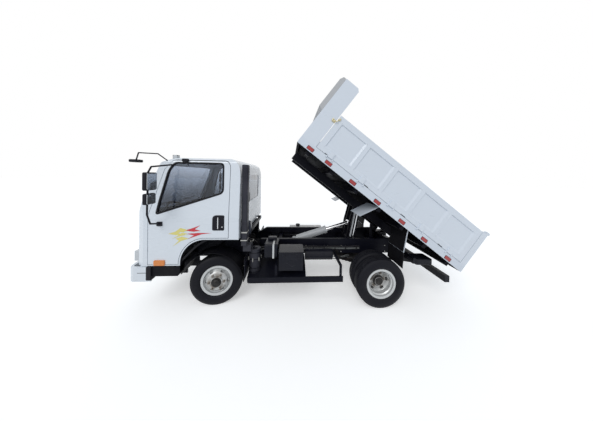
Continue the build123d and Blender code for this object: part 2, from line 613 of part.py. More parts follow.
def door_outline(margin):
    """The door seen from the side, grown by a margin for its opening."""
    m = margin
    corners = [(DOOR_FRONT - m, DOOR_BOTTOM - m), (DOOR_FRONT - m, 1440), (-700 - m, 2110), (-590, 2246 + m),
               (205 + m, 2246 + m), (DOOR_REAR + m, 2180), (DOOR_REAR + m, DOOR_BOTTOM - m)]
    return side_profile(corners, {1: 120, 2: 90, 3: 70, 4: 50, 5: 70})


WINDOW_POINTS = [(-777, 1461), (-745, 1640), (-640, 2095), (-560, 2208), (140, 2208), (151, 1776), (-100, 1690)]
WINDOW_RADII = {0: 22, 2: 90, 3: 60, 4: 45, 5: 60, 6: 200}


def window_outline():
    return side_profile(WINDOW_POINTS, WINDOW_RADII)


arch = across(arch_outline(0), -1100, 1100)
door_prism = cut(across(door_outline(0), -1100, -700), across(arch_outline(26), -1200, -600))
door_gap = cut(across(door_outline(DOOR_GAP), -1100, -700),
               across(arch_outline(26 - DOOR_GAP), -1200, -600))
window_prism = across(window_outline(), -1100, -600)
screen_outline = side_profile([(-800, 1452), (800, 1452), (742, 2170), (-742, 2170)],
                              {0: 70, 1: 70, 2: 80, 3: 80})
screen_prism = lengthwise(screen_outline, -1300, -560)
rear_outline = side_profile([(-560, 1560), (560, 1560), (560, 2040), (-560, 2040)],
                            {0: 60, 1: 60, 2: 60, 3: 60})
rear_prism = lengthwise(rear_outline, 300, 500)

shell = cut(outer, inner_deep, arch)
body_shell = cut(shell, door_gap, right(door_gap), screen_prism, rear_prism)
node("cab_shell", body_shell)

door_skin = cut(common(shell, door_prism), window_prism)
glass_skin = cut(cab_hull(14), cab_hull(14 + GLASS))
pane_skin = cut(cab_hull(9), cab_hull(9 + GLASS))
door_glass = common(glass_skin, window_prism)
node("door_left", door_skin)
node("door_right", right(door_skin))
node("door_glass_left", door_glass)
node("door_glass_right", right(door_glass))
node("cab_glass", common(pane_skin, screen_prism), common(pane_skin, rear_prism))

# Cab floor in two levels with a tunnel over the engine
FLOOR_HALF = 880.0
TUNNEL_HALF = 345.0
TUNNEL_FRONT = -785.0
WELL_Z, PLATFORM_Z, FLOOR_THICK = 830.0, 1090.0, 25.0
well_top, top_z = WELL_Z + FLOOR_THICK, PLATFORM_Z + FLOOR_THICK
floor_pieces = [
    block(-1048, -430, -FLOOR_HALF, -TUNNEL_HALF, WELL_Z, well_top),
    block(-1048, -430, TUNNEL_HALF, FLOOR_HALF, WELL_Z, well_top),
    block(-1048, TUNNEL_FRONT, -TUNNEL_HALF, TUNNEL_HALF, WELL_Z, well_top),
    block(-455, -430, -FLOOR_HALF, -TUNNEL_HALF, well_top, PLATFORM_Z),
    block(-455, -430, TUNNEL_HALF, FLOOR_HALF, well_top, PLATFORM_Z),
    block(-455, 352, -FLOOR_HALF, FLOOR_HALF, PLATFORM_Z, top_z),
    block(TUNNEL_FRONT, -455, -TUNNEL_HALF, TUNNEL_HALF, PLATFORM_Z, top_z),
    block(TUNNEL_FRONT, -455, -TUNNEL_HALF, -TUNNEL_HALF + 25, WELL_Z, PLATFORM_Z),
    block(TUNNEL_FRONT, -455, TUNNEL_HALF - 25, TUNNEL_HALF, WELL_Z, PLATFORM_Z),
    block(TUNNEL_FRONT, TUNNEL_FRONT + 25, -TUNNEL_HALF + 25, TUNNEL_HALF - 25, WELL_Z, PLATFORM_Z),
]
node("cab_floor", [common(piece, inner_deep) for piece in floor_pieces])

# Cab pivots on the rail ends, and rests behind on a cross beam with two pads
PIVOT_R = 20.0
pivot_ear = block(CAB_PIVOT_X - 40, CAB_PIVOT_X + 25, -RAIL_Y - 30, -RAIL_Y - 12, 610, 700)
pivot_pin = rod((CAB_PIVOT_X, -RAIL_Y - 80, CAB_PIVOT_Z), (CAB_PIVOT_X, -RAIL_Y - 12, CAB_PIVOT_Z), PIVOT_R)
pivot_arm = block(CAB_PIVOT_X - 20, CAB_PIVOT_X + 60, -RAIL_Y - 12, -RAIL_Y, 625, 690)
pivot_seat = join(pivot_ear, pivot_pin, pivot_arm)
cab_lug = join(rod((CAB_PIVOT_X, -RAIL_Y - 78, CAB_PIVOT_Z), (CAB_PIVOT_X, -RAIL_Y - 36, CAB_PIVOT_Z), 38),
               block(CAB_PIVOT_X - 38, CAB_PIVOT_X + 38, -RAIL_Y - 78, -RAIL_Y - 36, CAB_PIVOT_Z, WELL_Z))
cab_lug = cut(cab_lug, rod((CAB_PIVOT_X, -600, CAB_PIVOT_Z), (CAB_PIVOT_X, -300, CAB_PIVOT_Z), PIVOT_R + 0.05))
rest_post = block(410, 460, -RAIL_Y - 60, -RAIL_Y, 660, 1000)
rest_beam = block(410, 460, -700, 700, 1000, 1060)
rest_pad = block(340, 460, -640, -540, 1060, ARCH_TOP)
cab_mounts = [pivot_seat, rest_post, rest_pad]
node("chassis_mounts", hoist_mounts, cab_mounts, right(cab_mounts), rest_beam)

# Seats: a driver's seat and a double one, each a cushion and a leaning back
SEAT_COLUMNS = ("y0", "y1")
SEAT_ROWS = [(-790.0, -320.0), (-140.0, 780.0)]


def seat(y0, y1):
    cushion = fillet(block(-430, 60, y0, y1, top_z + 40, top_z + 180).edges(), 30)
    back = fillet(block(0, 110, y0 + 10, y1 - 10, 0, 620).edges(), 34)
    plinth = block(-370, 20, y0 + 50, y1 - 50, top_z, top_z + 40)
    return [cushion, Pos(10, 0, top_z + 150) * Rot(0, 12, 0) * back, plinth]


seat_solids = []
for row in SEAT_ROWS:
    cushion, back, plinth = seat(**dict(zip(SEAT_COLUMNS, row)))
    seat_solids += [cushion, cut(back, cushion), plinth]
node("seats", seat_solids)
dash = common(across(side_profile([(-1046, 1130), (-880, 1130), (-800, 1250), (-815, 1400), (-1046, 1440)],
                                  {2: 40, 3: 50}), -FLOOR_HALF, FLOOR_HALF), inner)
WHEEL_AT = Pos(-665, -555, 1440) * Rot(0, 38, 0)
steering = join(WHEEL_AT * Torus(205, 14), WHEEL_AT * rod((0, 0, -60), (0, 0, 8), 48),
                [WHEEL_AT * rod((0, 0, -14), (200 * math.cos(a), 200 * math.sin(a), 0), 11)
                 for a in (0.2, 2 * math.pi / 3 + 0.2, 4 * math.pi / 3 + 0.2)],
                cut(WHEEL_AT * rod((0, 0, -330), (0, 0, -50), 24), dash))
node("dashboard", dash, steering)

# Bumper: white front beam with wrapped corners, black step ends, hung under the cab
BEAM_Z0, BEAM_Z1 = 440.0, 688.0
beam = (Pos(0, 0, BEAM_Z0) * extrude(side_profile([(-1180, -700), (-1180, 700), (-1150, 880), (-1118, 880),
                                                   (-1118, -880), (-1150, -880)], {0: 60, 1: 60}),
                                     BEAM_Z1 - BEAM_Z0)).solid()
corner_plan = side_profile([(-1150, -880), (-1128, -925), (-1080, -945), (-838, -945), (-838, -915),
                            (-1075, -915), (-1118, -880)], {1: 30, 2: 30})
corner = (Pos(0, 0, BEAM_Z0 + 40) * extrude(corner_plan, BEAM_Z1 - BEAM_Z0 - 40)).solid()
hanger = block(-1118, -1050, -420, -340, 600, CAB_SILL_Z)
corner_hanger = block(-1000, -900, -915, -890, 600, CAB_SILL_Z)
node("bumper", beam, corner, right(corner), hanger, right(hanger), corner_hanger, right(corner_hanger))
step_face = across(side_profile([(-836, 545), (-470, 545), (-440, 575), (-440, 698), (-836, 698)]), -928, -903)
step_tread = block(-836, -470, -903, -760, 545, 570)
step_back = block(-836, -470, -785, -760, 570, CAB_SILL_Z + 130)
ARCH_LINER = 10.0
liner = cut(across(arch_outline(0), -CAB_HALF + 6, -650), across(arch_outline(-ARCH_LINER), -1000, -600),
            block(-500, 1000, -1000, -600, 300, CAB_SILL_Z + 2), block(CAB_REAR - 4, 1000, -1000, -600, 300, 1200))
step = [step_face, step_tread, step_back, cab_lug, liner]
node("cab_steps", step, right(step))
lamp = cut(block(-1128, -1060, -860, -600, 745, 890), outer)
node("headlamps", lamp, right(lamp))
node("grille", cut(block(-1116, -1060, -540, 540, 760, 880), outer))

# Mirrors on bent arms, one set on each door
ARM_POINTS = [(-726, -915, 1312), (-735, -1090, 1360), (-720, -1165, 1500), (-706, -1170, 2060),
              (-690, -1140, 2135), (-604, -872, 2178)]


def bent_bar(points, radius):
    """A round bar along a path of straight runs with ball-shaped corners."""
    runs = [rod(a, b, radius) for a, b in zip(points, points[1:])]
    return join(runs, [(Pos(*pt) * Sphere(radius)).solid() for pt in points[1:-1]])


head_tall = fillet(block(-712, -652, -1265, -1085, 1825, 2060).edges(), 18)
head_small = fillet(block(-716, -658, -1255, -1095, 1640, 1785).edges(), 18)
foot_plate = block(-760, -690, -948, -924, 1285, 1345)
mirror = cut(join(bent_bar(ARM_POINTS, 11), head_tall, head_small, foot_plate), door_skin, shell)
node("mirrors_left", mirror)
node("mirrors_right", right(mirror))

LOOK_DOWN = [(-655, -835, 2215), (-760, -930, 2330), (-960, -1010, 2330), (-985, -1015, 2230)]
look_down = cut(join(bent_bar(LOOK_DOWN, 8), fillet(block(-1040, -935, -1075, -955, 2195, 2235).edges(), 14)), outer)
roof_lamp = cut(block(-640, -570, -800, -745, 2240, 2330), outer)
node("cab_fittings", look_down, right(look_down), roof_lamp, right(roof_lamp))

# Air intake: snorkel up the back of the cab, canister below it
snorkel = fillet(block(CAB_REAR + 14, SNORKEL_REAR, -865, -745, 960, 2205).edges().filter_by(Axis.Z), 18)
snorkel = fillet(snorkel.edges().group_by(Axis.Z)[-1], 14)
duct = block(440, 560, -830, -700, 860, 960)
canister = rod((600, -690, 470), (600, -690, 860), 92)
canister_arm = block(570, 630, -610, -RAIL_Y, 660, 700)
node("air_intake", join(snorkel, duct, cut(canister, duct), canister_arm))

# Front mudguards: a curved band over each front wheel, on a strut from the rail
BAND_R, BAND_THICK = 468.0, 8.0


def band_point(radius, degrees):
    """A point round the front wheel, the angle counted from straight up towards the rear."""
    return radius * math.sin(math.radians(degrees)), WHEEL_Z + radius * math.cos(math.radians(degrees))


band_solids = []
for a0, a1 in ((-70, -31), (-31, 8), (8, 47), (47, 86)):
    mid = (a0 + a1) / 2
    low = ThreePointArc(band_point(BAND_R, a0), band_point(BAND_R, mid), band_point(BAND_R, a1))
    top = ThreePointArc(band_point(BAND_R + BAND_THICK, a1), band_point(BAND_R + BAND_THICK, mid),
                        band_point(BAND_R + BAND_THICK, a0))
    face = make_face([low, Line(low @ 1, top @ 0), top, Line(top @ 1, low @ 0)])
    band_solids.append(across(face, -895, -600))
strut = [block(-20, 20, -600, -RAIL_Y, BAND_R + WHEEL_Z - 8, BAND_R + WHEEL_Z + 4),
         block(-20, 20, -RAIL_Y - 10, -RAIL_Y, 740, BAND_R + WHEEL_Z - 8)]
node("front_mudguards", band_solids, strut, right(band_solids), right(strut))

# Tail lamps on a beam behind the frame
lamp_beam = block(RAIL_REAR, RAIL_REAR + 20, -830, 830, 640, 700)
lamp_box = block(RAIL_REAR + 20, RAIL_REAR + 62, -810, -560, 630, 720)
node("tail_lamps", lamp_beam, lamp_box, right(lamp_box))
tow_jaw = [block(RAIL_REAR + 20, RAIL_REAR + 110, -60, 60, z, z + 16) for z in (612, 668)]
tow_hole = rod((RAIL_REAR + 78, 0, 600), (RAIL_REAR + 78, 0, 720), 17)
tow_plate = block(RAIL_REAR - 6, RAIL_REAR + 20, -90, 90, 600, 640)
node("tow_jaw", [cut(piece, tow_hole) for piece in tow_jaw], tow_plate)

# The bed, drawn lowered; raised() turns it about its pin
BED_REAR = BED_FRONT + BED_LENGTH
RAIL_IN = BED_HALF - BED_WALL
SEAM_Z = BED_EDGE_Z + BED_RAIL_HEIGHT
TOP_Z = SEAM_Z + BED_SIDE_HEIGHT
HEAD_TOP = BED_EDGE_Z + HEADBOARD_HEIGHT
FLOOR_TOP = SEAM_Z - 12
SIDE_FRONT = BED_FRONT + WING_LENGTH + 8
SIDE_REAR = BED_REAR - POST_LENGTH - 8
SIDE_HINGES = 5
hinge_pitch = (SIDE_REAR - SIDE_FRONT - 507) / (SIDE_HINGES - 1)
HINGE_STATIONS = [SIDE_FRONT + 252 + hinge_pitch * i for i in range(SIDE_HINGES)]
HINGE_Y, HINGE_Z = BED_HALF + 12.0, SEAM_Z + 2.5


def raised(shape):
    """A lowered bed piece turned to the raised angle about the rear pin."""
    if isinstance(shape, list):
        return [raised(piece) for piece in shape]
    return Pos(PIN_X, 0, PIN_Z) * Rot(0, BED_ANGLE, 0) * Pos(-PIN_X, 0, -PIN_Z) * shape


floor = block(BED_FRONT + BED_WALL, BED_REAR - BED_WALL, -RAIL_IN, RAIL_IN, FLOOR_TOP - BED_FLOOR, FLOOR_TOP)
floor = chamfer(floor.faces().sort_by(Axis.Z)[-1].edges(), FLOOR_BEVEL).solids()[0]
side_rail = block(BED_FRONT, BED_REAR, -BED_HALF, -RAIL_IN, BED_EDGE_Z, SEAM_Z)
end_rail = block(BED_REAR - BED_WALL, BED_REAR, -RAIL_IN, RAIL_IN, BED_EDGE_Z, SEAM_Z)
head_rail = block(BED_FRONT, BED_FRONT + BED_WALL, -RAIL_IN, RAIL_IN, BED_EDGE_Z, SEAM_Z)
BEARERS = 7
bearer_pitch = (BED_LENGTH - 460) / (BEARERS - 1)
bearers = []
for i in range(BEARERS):
    x = BED_FRONT + 200 + bearer_pitch * i
    bearers.append(block(x, x + 60, -RAIL_IN, RAIL_IN, SILL_BOTTOM + SILL_HEIGHT, FLOOR_TOP - BED_FLOOR))
node("bed_floor", raised([floor, side_rail, right(side_rail), end_rail, head_rail]))

sill = block(BED_FRONT + 50, PIN_X + 40, -SILL_Y - SILL_WIDTH / 2, -SILL_Y + SILL_WIDTH / 2,
             SILL_BOTTOM, SILL_BOTTOM + SILL_HEIGHT)
sill = cut(sill, rod((PIN_X, -450, PIN_Z), (PIN_X, -280, PIN_Z), BOSS_R + 6))
lug_plates = [block(PIN_X - 42, PIN_X + 40, y0, y1, PIN_Z - 42, SILL_BOTTOM + 80)
              for y0, y1 in ((-414, -SILL_Y - SILL_WIDTH / 2), (-SILL_Y + SILL_WIDTH / 2, -316))]
lug_hole = rod((PIN_X, -450, PIN_Z), (PIN_X, -280, PIN_Z), PIN_R + 0.05)
sill_assembly = [sill] + [cut(plate, lug_hole) for plate in lug_plates]
node("bed_sills", raised([sill_assembly, right(sill_assembly)] + bearers))

head_wall = block(BED_FRONT, BED_FRONT + BED_WALL, -RAIL_IN, RAIL_IN, SEAM_Z, HEAD_TOP)
wing = across(side_profile([(BED_FRONT, SEAM_Z), (BED_FRONT + WING_LENGTH, SEAM_Z),
                            (BED_FRONT + WING_LENGTH, HEAD_TOP - 40), (BED_FRONT + WING_LENGTH - 40, HEAD_TOP),
                            (BED_FRONT, HEAD_TOP)]), -BED_HALF, -RAIL_IN)
node("bed_headboard", raised([head_wall, wing, right(wing)]))

# A box of plates on the headboard's front, over the cab's rear edge when the bed is down
VISOR_PLATE = 10.0
VISOR_HALF = BED_HALF - 12.0
visor_outline = [(BED_FRONT, VISOR_FOOT), (VISOR_X, VISOR_FOOT + 30), (VISOR_X, HEAD_TOP - 60),
                 (VISOR_X + 30, HEAD_TOP), (BED_FRONT, HEAD_TOP)]
visor_hollow = [(BED_FRONT, VISOR_FOOT + VISOR_PLATE), (VISOR_X + VISOR_PLATE, VISOR_FOOT + 30 + VISOR_PLATE / 2),
                (VISOR_X + VISOR_PLATE, HEAD_TOP - 64), (VISOR_X + 35, HEAD_TOP - VISOR_PLATE),
                (BED_FRONT, HEAD_TOP - VISOR_PLATE)]
visor = cut(across(side_profile(visor_outline), -VISOR_HALF, VISOR_HALF),
            across(side_profile(visor_hollow), -VISOR_HALF + VISOR_PLATE, VISOR_HALF - VISOR_PLATE))
node("bed_visor", raised(visor))

post = block(BED_REAR - POST_LENGTH, BED_REAR, -BED_HALF, -RAIL_IN, SEAM_Z, TOP_Z + 25)
post_ear = block(BED_REAR - 40, BED_REAR + 20, -BED_HALF, -RAIL_IN, TOP_Z + 25, TOP_Z + 60)
post_ear = cut(post_ear, rod((BED_REAR - 10, -BED_HALF, TOP_Z + 42), (BED_REAR - 10, BED_HALF, TOP_Z + 42), 12.05))
node("bed_posts", raised([post, post_ear, right(post), right(post_ear)]))


def pressed_panel(length_axis, start, stop, face, depth, z0, z1, count, rib):
    """Cutters for a row of shallow pressed recesses; the wall is 42 mm deep."""
    pitch = (stop - start + rib) / count
    cutters = []
    for i in range(count):
        a = start + i * pitch
        if length_axis == "x":
            cutters.append(block(a, a + pitch - rib, face - 1, face + depth, z0, z1))
        else:
            cutters.append(block(face - depth, face + 1, a, a + pitch - rib, z0, z1))
    return cutters


side = block(SIDE_FRONT, SIDE_REAR, -BED_HALF, -RAIL_IN, SEAM_Z + RUN, TOP_Z)
recesses = pressed_panel("x", SIDE_FRONT + 90, SIDE_REAR - 90, -BED_HALF, 14,
                         SEAM_Z + 80, TOP_Z - 75, SIDE_PANELS, 60)
drop_side = cut(side, recesses)
side_hinges, hinge_seats = [], []
for x in HINGE_STATIONS:
    knuckle_bar = rod((x - 40, -HINGE_Y, HINGE_Z), (x + 40, -HINGE_Y, HINGE_Z), 9)
    strap = block(x - 40, x + 40, -HINGE_Y - 4, -BED_HALF, HINGE_Z, HINGE_Z + 90)
    side_hinges += [join(knuckle_bar, strap)]
    hinge_pin = rod((x - 62, -HINGE_Y, HINGE_Z), (x + 62, -HINGE_Y, HINGE_Z), 4)
    ears = [block(x + e - 8, x + e + 8, -HINGE_Y - 6, -BED_HALF, HINGE_Z - 30, HINGE_Z - 2) for e in (-54, 54)]
    ears += [rod((x + e - 8, -HINGE_Y, HINGE_Z), (x + e + 8, -HINGE_Y, HINGE_Z), 7) for e in (-54, 54)]
    hinge_seats.append(join(hinge_pin, ears))
    side_hinges[-1] = cut(side_hinges[-1], rod((x - 70, -HINGE_Y, HINGE_Z), (x + 70, -HINGE_Y, HINGE_Z), 4.05))
drop_side = join(drop_side, side_hinges)
node("side_left", raised(drop_side))
node("side_right", raised(right(drop_side)))
node("bed_hinges", raised(hinge_seats + right(hinge_seats)))
gate = block(BED_REAR - BED_WALL, BED_REAR, -RAIL_IN + 8, RAIL_IN - 8, SEAM_Z + RUN, TOP_Z)
gate_recesses = pressed_panel("y", -RAIL_IN + 90, RAIL_IN - 90, BED_REAR, 14, SEAM_Z + 80, TOP_Z - 75, 3, 60)
gate_bar = rod((BED_REAR - 10, -BED_HALF + 2, TOP_Z + 42), (BED_REAR - 10, BED_HALF - 2, TOP_Z + 42), 12)
gate_arms = [block(BED_REAR - 30, BED_REAR - 8, side_y - 20, side_y + 20, TOP_Z, TOP_Z + 42)
             for side_y in (-700, 0, 700)]
node("tailgate", raised(join(cut(gate, gate_recesses), gate_bar, gate_arms)))


def leaf_plate(points, y0=-RAIL_IN, y1=-TWIN_Y + 207.0):
    """A thin plate over the twin tyres, its stations counted from the rear axle."""
    return across(side_profile([(WHEELBASE + x, z) for x, z in points]), y0, y1)


front_leaf = cut(leaf_plate([(-354, 1182), (-348, 1182), (-544, 800), (-550, 800)]), bearers)
front_leaf = flat([front_leaf])
front_leaf = max(front_leaf, key=lambda piece: piece.volume)
rear_leaf = leaf_plate([(154.6, 1182), (160.6, 1182), (364, 779), (358, 779)])
flap = leaf_plate([(358, 779), (366, 783), (502, 573), (495, 569)])
flap = cut(flap, rear_leaf)
node("bed_mudguards", raised([front_leaf, rear_leaf, right(front_leaf), right(rear_leaf)]))
node("mud_flaps", raised([flap, right(flap)]))

# The origin goes to the ground under the middle of the box round everything
low_x = min(shape.bounding_box().min.X for shape in nodes.values())
high_x = max(shape.bounding_box().max.X for shape in nodes.values())
low_z = min(shape.bounding_box().min.Z for shape in nodes.values())
ORIGIN_X = (low_x + high_x) / 2
ORIGIN_Z = low_z

os.makedirs("parts", exist_ok=True)
for name, shape in nodes.items():
    export_step(Pos(-ORIGIN_X, 0, -ORIGIN_Z) * shape, f"parts/{name}.step")
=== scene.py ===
"""A light dump truck with its bed raised, dressed for the photograph's view."""
import json
import math

import bpy
import numpy as np
from mathutils import Matrix, Vector


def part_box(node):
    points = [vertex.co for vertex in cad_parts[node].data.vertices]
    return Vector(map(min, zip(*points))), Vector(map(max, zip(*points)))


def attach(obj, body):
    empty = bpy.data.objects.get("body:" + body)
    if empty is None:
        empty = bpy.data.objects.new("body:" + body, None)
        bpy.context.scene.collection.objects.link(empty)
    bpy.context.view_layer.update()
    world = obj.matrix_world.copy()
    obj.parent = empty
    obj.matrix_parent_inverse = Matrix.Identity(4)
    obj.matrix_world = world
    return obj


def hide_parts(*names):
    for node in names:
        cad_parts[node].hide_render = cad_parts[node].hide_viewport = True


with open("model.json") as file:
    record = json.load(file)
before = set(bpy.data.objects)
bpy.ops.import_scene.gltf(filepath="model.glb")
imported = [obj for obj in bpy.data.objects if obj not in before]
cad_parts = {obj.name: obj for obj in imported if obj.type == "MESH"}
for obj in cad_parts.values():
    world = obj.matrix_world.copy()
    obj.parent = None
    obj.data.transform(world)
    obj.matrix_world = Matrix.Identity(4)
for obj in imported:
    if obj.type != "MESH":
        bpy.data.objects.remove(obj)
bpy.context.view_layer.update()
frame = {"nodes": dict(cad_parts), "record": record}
nodes = frame["nodes"]
scene = bpy.context.scene
scene.view_settings.view_transform = "Standard"

# The truck's own measures run from the front axle, in metres. The front axle
# lies one wheelbase ahead of the middle of the rear wheels' box.
WHEELBASE = 2.6
FRONT_AXLE_X = sum(corner[0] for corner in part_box("wheels_rear_left")) / 2 - WHEELBASE


def truck(points):
    """Points measured from the front axle, moved into the frame by one shift along X."""
    return np.asarray(points, float) + np.array([FRONT_AXLE_X, 0.0, 0.0])


def add(name, data):
    """A new object of this data, linked to the scene."""
    made = bpy.data.objects.new(name, data)
    scene.collection.objects.link(made)
    return made


# Camera: a phone at chest height on a step, beside the truck's middle and a
# little behind it, so the rear wheels show their dish and the cab its side.
PHOTO_W, PHOTO_H, SENSOR = 593, 421, 36.0
FOCAL_PX, CENTRE_PX = 173.7, (301.5, 176.9)
YAW, PITCH, ROLL = 0.058, -0.0126, 0.0198
EYE = truck([1.169, -3.557, 2.068])
camera_data = bpy.data.cameras.new("camera")
camera_data.sensor_width = SENSOR
camera_data.lens = FOCAL_PX / PHOTO_W * SENSOR
camera_data.shift_x = (PHOTO_W / 2 - CENTRE_PX[0]) / PHOTO_W
camera_data.shift_y = (CENTRE_PX[1] - PHOTO_H / 2) / PHOTO_W
camera_data.clip_end = 500
camera = add("camera", camera_data)
forward = Vector((math.sin(YAW) * math.cos(PITCH), math.cos(YAW) * math.cos(PITCH), math.sin(PITCH)))
level = Vector((math.cos(YAW), -math.sin(YAW), 0))
upward = level.cross(forward)
rightward = level * math.cos(ROLL) + upward * math.sin(ROLL)
upright = upward * math.cos(ROLL) - level * math.sin(ROLL)
camera_axes = Matrix((rightward, upright, -forward)).transposed().to_4x4()
camera.matrix_world = Matrix.Translation(EYE) @ camera_axes
scene.camera = camera

# Studio: a pale floor with a soft shadow, an even sky and one wide lamp. The
# camera, gloss and glass see a white sky; the paint gets a plain level of light.


def feed(node, socket, value):
    """Link a socket into a node's input, or set the input to a number, a vector or a colour."""
    target = node.inputs[socket]
    if isinstance(value, bpy.types.NodeSocket):
        node.id_data.links.new(value, target)
    else:
        target.default_value = (*value, 1) if target.type == "RGBA" else value


def maths(tree, operation, first, second=None, clamp=False):
    """A Math node whose inputs are sockets or plain numbers; gives its output socket."""
    step = tree.nodes.new("ShaderNodeMath")
    step.operation = operation
    step.use_clamp = clamp
    feed(step, 0, first)
    if second is not None:
        feed(step, 1, second)
    return step.outputs[0]


def fresh(name):
    """A new material, its node tree and its Principled shader."""
    material = bpy.data.materials.new(name)
    material.use_nodes = True
    return material, material.node_tree, material.node_tree.nodes["Principled BSDF"]


def seen_plainly(tree):
    """1 for camera, gloss and glass rays, 0 for the rays that carry light to the truck."""
    rays = tree.nodes.new("ShaderNodeLightPath").outputs
    surface = maths(tree, "MAXIMUM", rays["Is Camera Ray"], rays["Is Glossy Ray"])
    return maths(tree, "MAXIMUM", surface, rays["Is Transmission Ray"])


FLOOR_HALF = 60
floor_mesh = bpy.data.meshes.new("floor")
floor_mesh.from_pydata([(x * FLOOR_HALF, y * FLOOR_HALF, 0) for x, y in ((-1, -1), (1, -1), (1, 1), (-1, 1))],
                       [], [(0, 1, 2, 3)])
floor = add("floor", floor_mesh)
floor_mat, tree, shader = fresh("pale_floor")
feed(shader, "Base Color", (0.80, 0.80, 0.80))
feed(shader, "Roughness", 0.95)
feed(shader, "Specular IOR Level", 0.0)
lift = tree.nodes.new("ShaderNodeEmission")
feed(lift, "Color", (1, 1, 1))
feed(lift, "Strength", maths(tree, "MULTIPLY", seen_plainly(tree), 0.42))
both = tree.nodes.new("ShaderNodeAddShader")
feed(both, 0, shader.outputs[0])
feed(both, 1, lift.outputs[0])
feed(tree.nodes["Material Output"], "Surface", both.outputs[0])
floor_mesh.materials.append(floor_mat)

world = bpy.data.worlds.new("studio")
scene.world = world
world.use_nodes = True
tree = world.node_tree
sky, backdrop = tree.nodes["Background"], tree.nodes.new("ShaderNodeBackground")
feed(sky, "Color", (0.88, 0.94, 1.0))
feed(sky, "Strength", 0.62)
feed(backdrop, "Color", (1, 1, 1))
feed(backdrop, "Strength", 1.0)
sky_mix = tree.nodes.new("ShaderNodeMixShader")
feed(sky_mix, "Fac", seen_plainly(tree))
feed(sky_mix, 1, sky.outputs[0])
feed(sky_mix, 2, backdrop.outputs[0])
feed(tree.nodes["World Output"], "Surface", sky_mix.outputs[0])
sun_data = bpy.data.lights.new("wide_lamp", "SUN")
sun_data.energy = 1.15
sun_data.angle = math.radians(35)
add("wide_lamp", sun_data).rotation_euler = np.radians([48, -14, -14])

# Chassis: two pressed channel rails with cross members, the tipper's subframe on
# top and the brackets of cab and hoist, all in satin black paint. The rails carry
# rows of hexagon bolts and a bundle of pipes clipped along the left web.
ROAD_DUST = (0.30, 0.27, 0.23)


def steep(tree, value, start, gain):
    """A clamped ramp: 0 at the start, rising by the gain, 1 at most."""
    return maths(tree, "MULTIPLY", maths(tree, "SUBTRACT", value, start), gain, True)


def blotches(tree, scale, detail=3.0, stretch=(1, 1, 1), turn=(0, 0, 0)):
    """Noise on the piece's own coordinates, stretched along its axes; gives 0 to 1."""
    mapping, noise = tree.nodes.new("ShaderNodeMapping"), tree.nodes.new("ShaderNodeTexNoise")
    feed(mapping, "Vector", tree.nodes.new("ShaderNodeTexCoord").outputs["Object"])
    feed(mapping, "Scale", stretch)
    feed(mapping, "Rotation", turn)
    feed(noise, "Vector", mapping.outputs["Vector"])
    feed(noise, "Scale", scale)
    feed(noise, "Detail", detail)
    return noise.outputs["Fac"]


def colour_mix(tree, mask, under, over):
    """Under where the mask is 0, over where it is 1; sockets or plain colours."""
    mix = tree.nodes.new("ShaderNodeMix")
    mix.data_type = "RGBA"
    for socket, value in ((0, mask), (6, under), (7, over)):
        feed(mix, socket, value)
    return mix.outputs[2]


def axes_of(tree, node, vector):
    """X, Y and Z of a vector that a new node puts out."""
    split = tree.nodes.new("ShaderNodeSeparateXYZ")
    feed(split, 0, tree.nodes.new(node).outputs[vector])
    return split.outputs


def emboss(tree, shader, height, strength, distance=0.002):
    """Bump the shader's normal by a height."""
    relief = tree.nodes.new("ShaderNodeBump")
    for socket, value in (("Strength", strength), ("Distance", distance), ("Height", height)):
        feed(relief, socket, value)
    feed(shader, "Normal", relief.outputs["Normal"])


def effect(name, inputs, outputs):
    """An empty shader node group with named sockets, its inputs and its output node."""
    group = bpy.data.node_groups.new(name, "ShaderNodeTree")
    for socket, kind, value in inputs:
        made = group.interface.new_socket(socket, in_out="INPUT", socket_type="NodeSocket" + kind)
        made.default_value = value
    for socket, kind in outputs:
        group.interface.new_socket(socket, in_out="OUTPUT", socket_type="NodeSocket" + kind)
    return group, group.nodes.new("NodeGroupInput").outputs, group.nodes.new("NodeGroupOutput")


# Road dust settles thicker near the ground and on faces that look up.
road_dust, ins, outs = effect(
    "road_dust",
    [("Paint", "Color", (0.5, 0.5, 0.5, 1)), ("Dust", "Color", (*ROAD_DUST, 1)),
     ("Amount", "Float", 0.3), ("Top", "Float", 0.9), ("Patch size", "Float", 6.0)],
    [("Color", "Color"), ("Mask", "Float")])
height = axes_of(road_dust, "ShaderNodeTexCoord", "Object")["Z"]
lowness = maths(road_dust, "SUBTRACT", 1.0, maths(road_dust, "DIVIDE", height, ins["Top"]), True)
facing_up = axes_of(road_dust, "ShaderNodeNewGeometry", "Normal")["Z"]
lying = maths(road_dust, "MULTIPLY", maths(road_dust, "MAXIMUM", facing_up, 0.0), 0.2)
patch = steep(road_dust, blotches(road_dust, ins["Patch size"], 6.0), 0.32, 2.6)
settled = maths(road_dust, "MULTIPLY", maths(road_dust, "ADD", lowness, lying, True), patch)
settled = maths(road_dust, "MULTIPLY", settled, ins["Amount"], True)
feed(outs, "Mask", settled)
feed(outs, "Color", colour_mix(road_dust, settled, ins["Paint"], ins["Dust"]))

# Surface grain: a fine height for the bump, and slow smears for the roughness.
surface_grain, ins, outs = effect(
    "surface_grain", [("Fineness", "Float", 400.0), ("Smear size", "Float", 2.5)],
    [("Height", "Float"), ("Smears", "Float")])
feed(outs, "Height", blotches(surface_grain, ins["Fineness"], 2.0))
feed(outs, "Smears", blotches(surface_grain, ins["Smear size"], 5.0, (1, 1, 2.5)))

